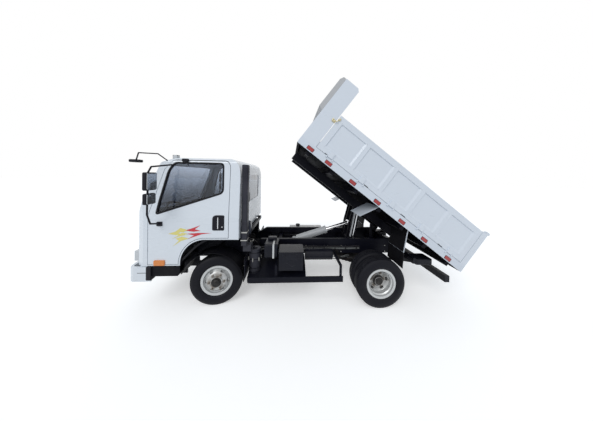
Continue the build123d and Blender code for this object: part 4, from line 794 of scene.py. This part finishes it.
window = rounded([(-0.777, 1.461), (-0.745, 1.640), (-0.640, 2.095), (-0.560, 2.208), (0.140, 2.208), (0.151, 1.776),
                  (-0.100, 1.690)], [0.022, 0.05, 0.060, 0.050, 0.045, 0.060, 0.10])
rubber = hoop([on_side(window, *row) for row in ((0.017, -0.004), (0.016, 0.003), (0.008, 0.0055), (-0.006, 0.0045),
                                                 (-0.012, -0.003), (-0.012, -0.016), (0.004, -0.020))])
pair("window_rubber_door_left", rubber, "door_left", hose_rubber, sharp=50)
opening = rounded([(-0.884, 0.726), (-0.884, 1.440), (-0.697, 2.110), (-0.590, 2.242), (0.205, 2.242), (0.241, 2.180),
                   (0.241, 1.110), (-0.100, 1.110), (-0.470, 0.726)],
                  [0.02, 0.10, 0.08, 0.06, 0.05, 0.06, 0.02, 0.25, 0.02])
seal = hoop([on_side(opening, *row) for row in ((0.016, -0.018), (0.016, -0.034), (-0.010, -0.034), (-0.010, -0.018))])
pair("door_seal_door_left", seal, "cab", hose_rubber, sharp=50)

# Glass: dark tinted safety glass, a little dusty, in the doors, front and rear. Its
# colour is painted paler towards the top: a painted reflection of the sky.
glazing, tree, shader = fresh("tinted_glass")
feed(shader, "Transmission Weight", 1.0)
feed(shader, "IOR", 1.45)
smear = blotches(tree, 3.0, 6.0)
painted_sky_band = steep(tree, axes_of(tree, "ShaderNodeTexCoord", "Object")["Z"], 1.60, 1.7)
painted_sky_band = maths(tree, "ADD", maths(tree, "MULTIPLY", smear, 0.12), painted_sky_band, True)
feed(shader, "Base Color", colour_mix(tree, painted_sky_band, (0.19, 0.21, 0.245), (0.60, 0.65, 0.73)))
feed(shader, "Roughness", steep(tree, smear, 0.4, 0.06))
dress(glazing, "cab_glass", "door_glass_left", "door_glass_right")

# Stripes: generic pointed flames of yellow and red film stuck on the door, each a
# thin sheet standing a hair off the paint, its tips fanning forwards and back.
film_yellow = finish("film_yellow", (0.74, 0.66, 0.20), 0.3, dust=0.25, top=1.6, patch=30.0, fineness=600.0,
                     dust_colour=(0.78, 0.76, 0.66))
film_red = finish("film_red", (0.58, 0.030, 0.045), 0.3, dust=0.15, top=1.6, patch=30.0, fineness=600.0,
                  dust_colour=(0.6, 0.35, 0.33))
YELLOW = [[(-0.320, 1.150), (-0.470, 1.175), (-0.612, 1.168), (-0.500, 1.150)],
          [(-0.330, 1.205), (-0.365, 1.238), (-0.440, 1.254), (-0.500, 1.205), (-0.600, 1.170), (-0.470, 1.172),
           (-0.400, 1.215)],
          [(-0.320, 1.240), (-0.365, 1.222), (-0.445, 1.200), (-0.395, 1.190)],
          [(-0.330, 1.158), (-0.430, 1.137), (-0.560, 1.094), (-0.480, 1.135), (-0.420, 1.160)],
          [(-0.318, 1.098), (-0.430, 1.062), (-0.545, 0.982), (-0.455, 1.068), (-0.500, 1.098), (-0.410, 1.128)],
          [(-0.335, 1.180), (-0.420, 1.182), (-0.490, 1.128), (-0.400, 1.152)]]
RED = [[(-0.360, 1.222), (-0.300, 1.240), (-0.152, 1.294), (-0.232, 1.237), (-0.150, 1.212), (-0.250, 1.200),
        (-0.318, 1.208)],
       [(-0.345, 1.170), (-0.180, 1.182), (0.012, 1.179), (-0.130, 1.163), (-0.205, 1.138), (-0.335, 1.092),
        (-0.245, 1.146)]]
for name, shapes, film, proud in (("yellow", YELLOW, film_yellow, 0.0010), ("red", RED, film_red, 0.0016)):
    sheets = []
    for layer, corners in enumerate(shapes):
        flat = rounded(corners, 0.004, 4)
        flat = flat if winding(flat) > 0 else flat[::-1]
        points = truck(spots(flat[:, 0], side_face(flat[:, 1], proud + 0.0002 * layer), flat[:, 1]))
        sheets.append((points, [list(range(len(points)))]))
    pair("stripe_" + name + "_door_left", merge(*sheets), "door_left", film)

# Door furniture: a black moulded recess with a bright upright pull handle, the
# lock beside it, and an amber side marker low on the door's front corner.
bright = finish("bright_handle", (0.62, 0.63, 0.65), 0.25, metallic=0.85, dust=0.1, top=1.6, patch=20.0,
                fineness=900.0)
GRIP_X, GRIP_Z = 0.102, 1.33
recess = rounded([(0.016, 1.218), (0.188, 1.218), (0.188, 1.442), (0.016, 1.442)], [0.022, 0.022, 0.022, 0.060])
rings = [on_side(recess, *row) for row in ((0.002, -0.003), (0.0, 0.004), (-0.007, 0.006), (-0.013, 0.006),
                                           (-0.022, 0.0045))]
count, last = len(recess), (len(rings) - 1) * len(recess)
points = np.concatenate([*rings, truck([[GRIP_X, side_face(GRIP_Z, 0.0055), GRIP_Z]])])
faces = net(len(rings), count, wrap_cols=True).tolist() + fan(last, count, len(points) - 1, False)
bowl = outward(points, faces + [list(range(count))[::-1]])
pair("handle_recess_door_left", bowl, "door_left", moulded_black)
grip = soft_block(truck([GRIP_X - 0.001, side_face(GRIP_Z, 0.013), GRIP_Z]), (0.0075, 0.009, 0.086), 0.4, 13, 20)
pair("door_pull_door_left", grip, "door_left", bright)
lock = turned([(0, 0), (0, 0.008), (0.007, 0.008), (0.008, 0.006), (0.0085, 0.0)],
              truck([0.160, side_face(1.3, 0.001), 1.27]), (0, -1, 0), 20)
pair("door_lock_door_left", lock, "door_left", bright)
marker = soft_block(truck([-0.724, side_face(0.745, 0.004), 0.745]), (0.077, 0.013, 0.039), 0.2)
pair("side_marker_door_left", marker, "door_left", lens_amber)

# Mirrors: silvered flat panes, a large one above a small one, clipped into the
# black shells on each door's arm and facing the rear.
mirror_glass, tree, shader = fresh("mirror_glass")
feed(shader, "Metallic", 1.0)
feed(shader, "Base Color", (0.75, 0.78, 0.80))
feed(shader, "Roughness", maths(tree, "MULTIPLY", blotches(tree, 8.0, 4.0), 0.10))
panes = merge(soft_block(truck([-0.6515, -1.175, 1.9425]), (0.0025, 0.080, 0.106), 0.12),
              soft_block(truck([-0.6575, -1.175, 1.7125]), (0.0025, 0.071, 0.062), 0.12))
pair("mirror_panes_door_left", panes, "door_left", mirror_glass)

# Roof: a small marker lamp at each front corner under a clear cap, and a black
# aerial clip over the left door with its short whip.
cap_lens = soft_block(truck([-0.605, -0.7725, 2.288]), (0.039, 0.032, 0.046), 0.45)
pair("roof_marker_left", cap_lens, "cab", lens_clear)
whip = truck([[-0.395, -0.880, 2.235], [-0.375, -0.888, 2.20], [-0.345, -0.893, 2.165]])
aerial = merge(soft_block(truck([-0.410, -0.872, 2.250]), (0.046, 0.016, 0.024), 0.35), pipe(eased(whip, 16), 0.004, 8))
piece("aerial_clip", aerial, "cab", moulded_black)

# Front: headlamps with clear ribbed lenses, a slatted air inlet and two wipers
# parked at the foot of the windscreen. The badge's place stays bare.
dress(lens_clear, "headlamps")
low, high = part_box("grille")
slats = [soft_block((low[0] - 0.001, 0.0, z), (0.007, high[1] - 0.02, 0.007), 0.25, 9, 40)
         for z in np.linspace(low[2] + 0.018, high[2] - 0.018, 4)]
piece("grille_slats", merge(*slats), "cab", moulded_black)
boss = [(-0.01, 0), (-0.01, 0.016), (0.012, 0.016), (0.016, 0.010), (0.016, 0)]
wipers = []
for foot in truck([[-1.094, -0.62, 1.452], [-1.094, 0.10, 1.452]]):
    arm = eased(foot + [[0, 0, 0], [-0.012, 0.15, 0.035], [0.000, 0.36, 0.060]], 20)
    blade = eased(foot + [[0.004, 0.06, 0.062], [0.004, 0.33, 0.066], [0.004, 0.60, 0.070]], 12)
    wipers += [pipe(arm, np.linspace(0.008, 0.0045, 20), 8), pipe(blade, 0.0055, 8),
               turned(boss, foot, (-0.93, 0, 0.36), 18)]
piece("wipers", merge(*wipers), "cab", moulded_black)

# Seats: foam blocks in grey woven cloth, one for the driver and a double one, each
# with sewn channels along the cushion and up the back, on black plinths.
seat_cloth, tree, shader = fresh("seat_cloth")
feed(shader, "Sheen Weight", 0.3)
weave = []
for direction in ("X", "Z"):
    threads = tree.nodes.new("ShaderNodeTexWave")
    threads.bands_direction = direction
    feed(threads, "Vector", tree.nodes.new("ShaderNodeTexCoord").outputs["Object"])
    feed(threads, "Scale", 95.0)
    feed(threads, "Distortion", 0.6)
    weave.append(threads.outputs["Fac"])
cloth = maths(tree, "MULTIPLY", maths(tree, "ADD", *weave), 0.5)
faded = maths(tree, "MULTIPLY", blotches(tree, 9.0, 4.0), 0.5)
tint = maths(tree, "ADD", maths(tree, "MULTIPLY", cloth, 0.5), faded, True)
feed(shader, "Base Color", colour_mix(tree, tint, (0.34, 0.36, 0.39), (0.66, 0.69, 0.72)))
feed(shader, "Roughness", maths(tree, "ADD", maths(tree, "MULTIPLY", cloth, 0.1), 0.8))
emboss(tree, shader, cloth, 0.4, 0.001)
SEAT_Z, RECLINE = 1.115, math.radians(-78)


def pad(centre, half, channels, lean=0.0):
    """A crowned pad: a superquadric whose big faces swell by a cosine from edge to middle.

    Sewn channels run along X (or up the back): at each one the swell drops by a
    narrow Gaussian. The lean turns the pad about Y through its foot.
    """
    points, faces = soft_block((0, 0, 0), (1, 1, 1), 0.34, 41, 72)
    x, y, z = points.T
    crown = np.cos(np.clip(x, -1, 1) * math.pi / 2) * np.cos(np.clip(y, -1, 1) * math.pi / 2)
    swell = (1 + 0.22 * crown) / 1.22
    for at in channels:
        swell = swell - 0.13 * np.exp(-((y - at) / 0.035) ** 2) * (np.abs(z) > 0.3)
    points = np.stack([x, y, z * swell], -1) * half
    turn = np.array([[math.cos(lean), 0, math.sin(lean)], [0, 1, 0], [-math.sin(lean), 0, math.cos(lean)]])
    return points @ turn.T + centre, faces


plinths = []
for name, middle, half_y, channels in (("driver", -0.555, 0.235, (-0.45, 0.0, 0.45)),
                                       ("double", 0.320, 0.460, (-0.72, -0.48, -0.04, 0.04, 0.48, 0.72))):
    cushion = pad(truck([-0.185, middle, SEAT_Z + 0.110]), (0.245, half_y, 0.070), channels)
    back = pad(truck([0.128, middle, SEAT_Z + 0.468]), (0.312, half_y - 0.010, 0.055), channels, RECLINE)
    made = [piece("seat_cushion_" + name, cushion, "cab", seat_cloth, sharp=60),
            piece("seat_back_" + name, back, "cab", seat_cloth, sharp=60)]
    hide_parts("seats")
    plinths.append(soft_block(truck([-0.175, middle, SEAT_Z + 0.020]), (0.195, half_y - 0.05, 0.021), 0.12))
piece("seat_plinths", merge(*plinths), "cab", moulded_black)

# Bumper corner: a black moulded cap over the steel bumper's rear end, and the dark
# joint line between its upper and lower halves.
cap_end = soft_block(truck([-0.868, -0.900, 0.592]), (0.036, 0.049, 0.102), 0.18)
joint_line = pipe(truck(spots(np.linspace(-1.02, -0.905, 12), -0.9452, 0.604)), 0.0035, 6)
piece("bumper_end_caps", both_sides(cap_end, joint_line), "cab", moulded_black)

# Air intake: a blow-moulded plastic snorkel behind the cab with a louvred mouth at
# the top, held by bands, over a canister with a clipped lid.
intake_plastic = finish("intake_plastic", (0.030, 0.031, 0.042), 0.5, specular=0.2, dust=0.06, top=2.2, grain=0.4,
                        fineness=420.0)
dress(intake_plastic, "air_intake")
MOUTH_Z = np.linspace(1.985, 2.155, 8)
louvres = [soft_block(truck([x, y, z]), half, 0.3, 7, 20) for x, y, half, heights in (
    (0.459, -0.868, (0.036, 0.006, 0.0055), MOUTH_Z), (0.507, -0.805, (0.006, 0.044, 0.0055), MOUTH_Z),
    (0.459, -0.8665, (0.034, 0.0035, 0.004), (1.30, 1.62, 1.94))) for z in heights]
piece("snorkel_louvres", merge(*louvres), "chassis", intake_plastic)
bands = merge(soft_block(truck([0.4595, -0.805, 1.165]), (0.050, 0.065, 0.011), 0.16, 9, 32),
              soft_block(truck([0.4595, -0.805, 1.045]), (0.052, 0.067, 0.009), 0.16, 9, 32))
piece("snorkel_bands", bands, "chassis", zinc)
can = truck([0.600, -0.690, 0])
ring = [(0, 0), (0, 0.088), (0, 0.0955), (0.008, 0.0965), (0.014, 0.0955), (0.014, 0.088), (0.014, 0)]
rings = [turned(ring, can + z * UP, UP, 48) for z in (0.500, 0.560, 0.700, 0.800)]
knob = turned([(0.855, 0), (0.855, 0.040), (0.872, 0.038), (0.880, 0.026), (0.880, 0)], can, UP, 28)
piece("canister_rings", merge(*rings, knob), "chassis", box_black)
clips = [soft_block(can + [0.0985 * math.cos(a), 0.0985 * math.sin(a), 0.700], (0.006, 0.006, 0.030), 0.3, 9, 16)
         for a in np.radians([200, 260, 320, 20])]
piece("canister_clips", merge(*clips), "chassis", zinc)

# On the cab's back: a moulded air vent, and the coolant's header tank in dark
# blue-black plastic on a bracket.
back_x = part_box("cab_shell")[1][0]
vent = soft_block((back_x + 0.004, -0.450, 1.650), (0.030, 0.100, 0.098), 0.5, 21, 36)
piece("cab_back_vent", vent, "cab", moulded_black)
neck = [(1.25, 0), (1.25, 0.022), (1.275, 0.022), (1.280, 0.016), (1.280, 0)]
tank = merge(soft_block((back_x + 0.075, -0.600, 1.165), (0.038, 0.060, 0.098), 0.3, 21, 36),
             turned(neck, (back_x + 0.075, -0.600, 0), UP, 20),
             soft_block((back_x + 0.028, -0.600, 1.165), (0.030, 0.030, 0.016), 0.3, 9, 20))
tank_plastic = finish("tank_plastic", (0.030, 0.038, 0.065), 0.3, dust=0.1, top=1.2, grain=0.2, fineness=420.0)
piece("header_tank", tank, "cab", tank_plastic)

# Tipping bed: welded steel box on two sills, in white enamel outside, with the hood over the
# cab painted grey as painted shade, black sills and rubber flaps bolted to the mudguards.
ENAMEL, BLACK = (0.665, 0.715, 0.785), (0.004, 0.0042, 0.008)


bed_enamel = finish("bed_enamel", ENAMEL, 0.34, coat=0.2, dust=0.16, top=1.6, patch=3.0, fineness=260.0, scuff=0.16,
                    bare=(0.42, 0.43, 0.44), dust_colour=(0.50, 0.48, 0.45))
hood_painted_shade = finish("hood_painted_shade", (0.46, 0.465, 0.475), 0.42, dust=0.2, top=2.5, patch=4.0, grain=0.12, fineness=260.0,
                   scuff=0.2, bare=(0.30, 0.30, 0.31))
under_black = finish("under_black", BLACK, 0.5, specular=0.10, dust=0.04, top=1.4, grain=0.3, fineness=200.0,
                     scuff=0.35, bare=(0.05, 0.05, 0.055))
flap_rubber = finish("flap_rubber", (0.006, 0.006, 0.008), 0.6, specular=0.12, dust=0.10, patch=7.0, grain=0.4,
                     fineness=200.0)
dress(bed_enamel, "bed_headboard", "bed_posts", "side_left", "side_right", "tailgate", "bed_mudguards", "bed_hinges")
# Grey on the hood is painted shade; the hood is white enamel like the bed.
dress(hood_painted_shade, "bed_visor")
dress(under_black, "bed_sills")
dress(flap_rubber, "mud_flaps")

# Floor frame: the outer rail is enamelled with the sides, the cross-bearers and the
# plate's underside are black; the change lies in from the rail and below the plate.
BED_ANGLE, PIN_X, PIN_Z, BED_Y, SEAM_Z = math.radians(37.0), 3.110, 0.870, 1.010, 1.202


def floor_paint(tree):
    """Black below the floor plate and in from the rail, white elsewhere, by the bed's own height."""
    pin, upright_way = (FRONT_AXLE_X + PIN_X, 0.0, PIN_Z), (math.sin(BED_ANGLE), 0.0, math.cos(BED_ANGLE))
    beneath = maths(tree, "LESS_THAN", measured(tree, pin, "DOT_PRODUCT", upright_way), SEAM_Z - 0.020 - PIN_Z)
    aside = maths(tree, "ABSOLUTE", axes_of(tree, "ShaderNodeTexCoord", "Object")["Y"])
    inboard = maths(tree, "LESS_THAN", aside, BED_Y - 0.012)
    return colour_mix(tree, maths(tree, "MULTIPLY", beneath, inboard), ENAMEL, BLACK)


floor_frame_paint = finish("floor_frame_paint", floor_paint, 0.80, dust=0.10, top=1.6, patch=3.0, fineness=260.0,
                           specular=0.12, dust_colour=(0.30, 0.28, 0.26))
dress(floor_frame_paint, "bed_floor")

# Load floor: a steel sheet scoured bright and rusted by loads, laid as a thin
# wavy wear sheet over the floor plate. This and all of the bed after it is drawn
# lowered, then turned about the rear pin by the angle the bed stands at.
BED_X0, BED_X1 = 0.608, 3.858


def raised(points):
    """Lowered bed points (from the front axle) turned about the pin and moved into the frame."""
    points = np.asarray(points, float)
    along, up = points[..., 0] - PIN_X, points[..., 2] - PIN_Z
    return truck(np.stack([PIN_X + along * math.cos(BED_ANGLE) + up * math.sin(BED_ANGLE), points[..., 1],
                           PIN_Z - along * math.sin(BED_ANGLE) + up * math.cos(BED_ANGLE)], -1))


scoured, tree, shader = fresh("scoured_floor")
feed(shader, "Metallic", 0.4)
rust = steep(tree, blotches(tree, 2.4, 8.0), 0.44, 4.0)
drag = steep(tree, blotches(tree, 9.0, 9.0, (0.35, 5.0, 1.0), (0, BED_ANGLE, 0)), 0.5, 6.0)
steel = colour_mix(tree, drag, (0.50, 0.52, 0.54), (0.26, 0.265, 0.27))
feed(shader, "Base Color", colour_mix(tree, maths(tree, "MULTIPLY", rust, 0.55), steel, (0.23, 0.115, 0.055)))
feed(shader, "Roughness", maths(tree, "ADD", maths(tree, "MULTIPLY", rust, 0.3), 0.42, True))
emboss(tree, shader, drag, 0.35)
WEAR_ROWS, WEAR_COLS, WEAR_INSET = 90, 60, 0.046
u, v = np.meshgrid(np.linspace(BED_X0 + WEAR_INSET, BED_X1 - WEAR_INSET, WEAR_ROWS),
                   np.linspace(-BED_Y + WEAR_INSET, BED_Y - WEAR_INSET, WEAR_COLS), indexing="ij")
# The wear sheet's height: 2.2 mm over the floor plus a dent pattern of two crossed sines.
w = SEAM_Z - 0.012 + 0.0022 + 0.0012 * np.sin(u * 19.0) * np.sin(v * 23.0 + u * 3.0)
wear = raised(spots(u, v, w)), net(WEAR_ROWS, WEAR_COLS)[:, ::-1].tolist()
piece("floor_wear_sheet", wear, "bed", scoured, sharp=80)

# Red reflectors along the floor rail, seven a side, each a ribbed lens in a black
# tray; the rear board carries two more.


def tipped(*shapes):
    """Shapes drawn on the lowered bed, as one, raised with it."""
    points, faces = merge(*shapes)
    return raised(points), faces


REFLECTOR_X = (0.826, 1.166, 1.630, 2.113, 2.605, 3.063, 3.552)
trays = [soft_block((x, -BED_Y + 0.001, 1.128), (0.060, 0.0035, 0.029), 0.18, 9, 24) for x in REFLECTOR_X]
pair("reflector_trays_left", tipped(*trays), "bed", moulded_black)
lenses = [soft_block((x, -BED_Y, 1.128), (0.055, 0.0042, 0.0245), 0.25, 9, 24) for x in REFLECTOR_X]
pair("reflectors_left", tipped(*lenses), "bed", lens_red)
rear = [soft_block((BED_X1 + 0.002, y, 1.140), (0.006, 0.055, 0.0245), 0.25, 9, 24) for y in (-0.80, 0.80)]
piece("rear_reflectors", tipped(*rear), "bed", lens_red)

# Slots in the floor rail over each hinge, drawn as thin black plates of painted shade, and the
# rail's lip, uneven with weld, that catches the light along its lower edge.
slots = [soft_block((x, -BED_Y - 0.0005, 1.212), (0.046, 0.0020, 0.0045), 0.2, 7, 20)
         for x in (1.074, 1.819, 2.560, 3.322)]
pair("rail_slots_left", tipped(*slots), "bed", under_black)
x = np.linspace(BED_X0 + 0.004, BED_X1 - 0.004, 400)
lips = [pipe(spots(x, y, 1.091), 0.0045 * (1 + 0.25 * np.sin(x * 900)), 8)
        for y in (-BED_Y + 0.002, BED_Y - 0.002)]
piece("rail_lips", tipped(*lips), "bed", bed_enamel)

# Drop sides: folded sheet with five pressed fields. A rounded rail runs along the
# top edge; over-centre latches at the front hold the side to the headboard.


def facing(points, quads, way):
    """An open sheet whose first quad looks the given way."""
    corner, beside, below = points[quads[0][[0, 1, 3]]]
    looks = np.cross(beside - corner, below - corner) @ way
    return points, (quads if looks > 0 else quads[:, ::-1]).tolist()


latch_steel = finish("latch_steel", (0.52, 0.47, 0.30), 0.4, metallic=0.7, dust=0.3, top=2.4, patch=30.0,
                     fineness=800.0, scuff=0.6, bare=(0.30, 0.17, 0.08))
SIDE_X0, SIDE_X1, TOP_Z, FIELDS, RIB, MARGIN = 0.878, 3.755, 1.787, 5, 0.060, 0.090
pitch = (SIDE_X1 - SIDE_X0 - 2 * MARGIN + RIB) / FIELDS
field_z0, field_z1 = SEAM_Z + 0.080, TOP_Z - 0.075
middle_z = (field_z0 + field_z1) / 2
frames = []
for x0 in SIDE_X0 + MARGIN + pitch * np.arange(FIELDS):
    x1 = x0 + pitch - RIB
    outline = rounded([(x0, field_z0), (x1, field_z0), (x1, field_z1), (x0, field_z1)], 0.03, 6)
    rings = []
    for grow, proud in ((0.006, -0.001), (0.004, 0.0012), (0.0, 0.0014), (-0.004, 0.0002), (-0.030, -0.0125),
                        (-0.036, -0.0145)):
        shift = rim_of(outline, grow) - outline
        # The press draws the upper and front walls steep, the lower and rear ones wide.
        if grow < -0.01:
            shift[:, 1] *= np.where(outline[:, 1] > middle_z, 0.22, 1.0)
            shift[:, 0] *= np.where(outline[:, 0] < x0 + pitch / 2, 0.35, 1.0)
        rings.append(spots(outline[:, 0] + shift[:, 0], -BED_Y - proud, outline[:, 1] + shift[:, 1]))
    field = raised(np.concatenate(rings))
    left_of = raised([x0 + 0.2, -BED_Y - 1.0, middle_z]) - field[0]
    frames.append(facing(field, net(len(rings), len(outline), wrap_cols=True), left_of))
pair("pressed_edges_side_left", merge(*frames), "side_left", bed_enamel)
top_rail = pipe(spots(np.linspace(SIDE_X0 + 0.003, SIDE_X1 - 0.003, 40), -BED_Y + 0.019, TOP_Z + 0.001), 0.0205, 14)
pair("top_rail_side_left", tipped(top_rail), "side_left", bed_enamel)
lever = [[0.845, -BED_Y - 0.014, 1.668], [0.868, -BED_Y - 0.022, 1.672], [0.890, -BED_Y - 0.026, 1.690],
         [0.882, -BED_Y - 0.020, 1.722]]
latch = tipped(soft_block((0.842, -BED_Y - 0.006, 1.668), (0.030, 0.006, 0.022), 0.3, 11, 24),
               pipe(eased(lever, 24), 0.0065, 10),
               pipe(spots(0.815, -BED_Y - 0.012, np.linspace(1.655, 1.690, 6)), 0.008, 10))
pair("latch_side_left", latch, "bed", latch_steel)
keeper = soft_block((0.905, -BED_Y - 0.006, 1.735), (0.014, 0.007, 0.020), 0.35, 9, 20)
pair("latch_keeper_side_left", tipped(keeper), "side_left", latch_steel)

# Tailgate: pins in the post ears at the top, and two claw latches at the foot
# worked by a cross shaft under the floor rail.
claws = [pipe(spots(BED_X1 + 0.010, np.linspace(-0.95, 0.95, 8), 1.150), 0.010, 12)]
for y in (-0.72, 0.72):
    claws += [soft_block((BED_X1 + 0.008, y, 1.215), (0.010, 0.022, 0.045), 0.3, 11, 24),
              turned([(-0.03, 0), (-0.03, 0.014), (0.03, 0.014), (0.03, 0)], (BED_X1 + 0.010, y, 1.180), (0, 1, 0), 16)]
piece("gate_claws", tipped(*claws), "bed", latch_steel)

# Mudguards: white sheet leaves whose faces towards the tyres carry a thin rough black coat over
# the inner face only; its black is partly underseal and partly painted shade of the wheel side.
underseal = finish("underseal", (0.006, 0.006, 0.008), 0.75, specular=0.12, dust=0.08, top=1.0, patch=5.0, grain=0.9,
                   fineness=90.0)
LEAF_Y0, LEAF_Y1 = -0.954, -0.550
LEAF_TOP, LEAF_FOOT = np.array([WHEELBASE + 0.1546, 1.176]), np.array([WHEELBASE + 0.3575, 0.782])
fall_x, fall_z = LEAF_FOOT - LEAF_TOP
s, q = np.meshgrid(np.linspace(0, 1, 24), np.linspace(0, 1, 14), indexing="ij")
# The coat stands off the leaf by 2.2 mm and a rough pattern of two sines.
thick = (0.0022 + 0.0008 * np.sin(s * 61) * np.sin(q * 47)) / math.hypot(fall_x, fall_z)
face = raised(spots(LEAF_TOP[0] + fall_x * s + fall_z * thick, LEAF_Y0 + (LEAF_Y1 - LEAF_Y0) * q,
                    LEAF_TOP[1] + fall_z * s - fall_x * thick))
pair("underseal_left", facing(face, net(24, 14), (-1, 0, 0)), "bed", underseal, sharp=80)

# Hoist: two lift arms and one ram between the rails. The arms' plates are black as painted shade,
# with pale strips as painted highlights of their lit faces; the barrel is grey enamel, and the rod hard chrome.
hoist_grey_paint = finish("hoist_grey_paint", (0.46, 0.475, 0.49), 0.38, dust=0.16, top=1.6, patch=8.0, scuff=0.4,
                          bare=(0.24, 0.22, 0.20))
chrome = finish("hard_chrome", (0.74, 0.75, 0.77), 0.12, metallic=1.0, dust=0.05, top=1.6, grain=0.02, fineness=900.0)
dress(hoist_grey_paint, "cylinder_barrel")
dress(chrome, "cylinder_rod")
# The arm plates' black is painted shade.
dress(under_black, "hoist_arm", "safety_prop")
FOOT_X, FOOT_Z, ARM_LENGTH, ARM_LEAN = PIN_X - 0.760, 0.800, 0.710, math.radians(10.7)
PLATE_Y = 0.240
up_arm = np.array([math.sin(ARM_LEAN), 0.0, math.cos(ARM_LEAN)])
over_arm = np.array([math.cos(ARM_LEAN), 0.0, -math.sin(ARM_LEAN)])


def on_arm(along, aside, y):
    """A point of the arm: so far up from the foot pin, so far to its rear side."""
    return truck([FOOT_X, y, FOOT_Z]) + up_arm * along + over_arm * aside


turn = np.stack([over_arm, [0.0, 1.0, 0.0], up_arm], -1)
# Pale strips on the arm plates: painted highlights.
strips = [soft_block(on_arm(0.375, -0.032, y), (0.0145, 0.004, 0.300), 0.12, 9, 24, turn) for y in (-PLATE_Y, PLATE_Y)]
piece("arm_painted_highlights", merge(*strips), "hoist_arm", hoist_grey_paint)
guides = [pipe(np.linspace(on_arm(0.06, 0.020, y), on_arm(0.66, 0.020, y), 6), 0.0135, 18) for y in (-PLATE_Y, PLATE_Y)]
piece("arm_guide_rods", merge(*guides), "hoist_arm", chrome)

# Pins and hoses: hexagon heads close the arm's foot and tip pins, and two pressure
# hoses reach the ram's foot from the pump.
PIN_END_Y = 0.246
foot, end = truck([1.245, 0, 0.735]), truck([1.900, 0, 0.975])
way = (end - foot) / np.linalg.norm(end - foot)
left_hose = [foot + way * 0.10 + [0, -0.070, 0.02], foot + [0.10, -0.13, 0.05],
             *truck([[1.16, -0.20, 0.76], [1.05, -0.29, 0.74], [0.92, -0.335, 0.70]])]
right_hose = [foot + way * 0.14 + [0, 0.070, 0.02], foot + [0.12, 0.13, 0.05],
              *truck([[1.18, 0.20, 0.76], [1.05, 0.28, 0.74], [0.92, 0.335, 0.70]])]
pressure_hoses = [pipe(eased(hose, 50), 0.011, 12) for hose in (left_hose, right_hose)]
piece("pressure_hoses", merge(*pressure_hoses), "chassis", hose_rubber)
heads = [hex_heads([on_arm(0.0, 0.0, y), on_arm(ARM_LENGTH, 0.0, y)], (0, np.sign(y), 0), 0.017, 0.007)
         for y in (-PIN_END_Y, PIN_END_Y)]
piece("arm_pin_heads", merge(*heads), "hoist_arm", zinc)
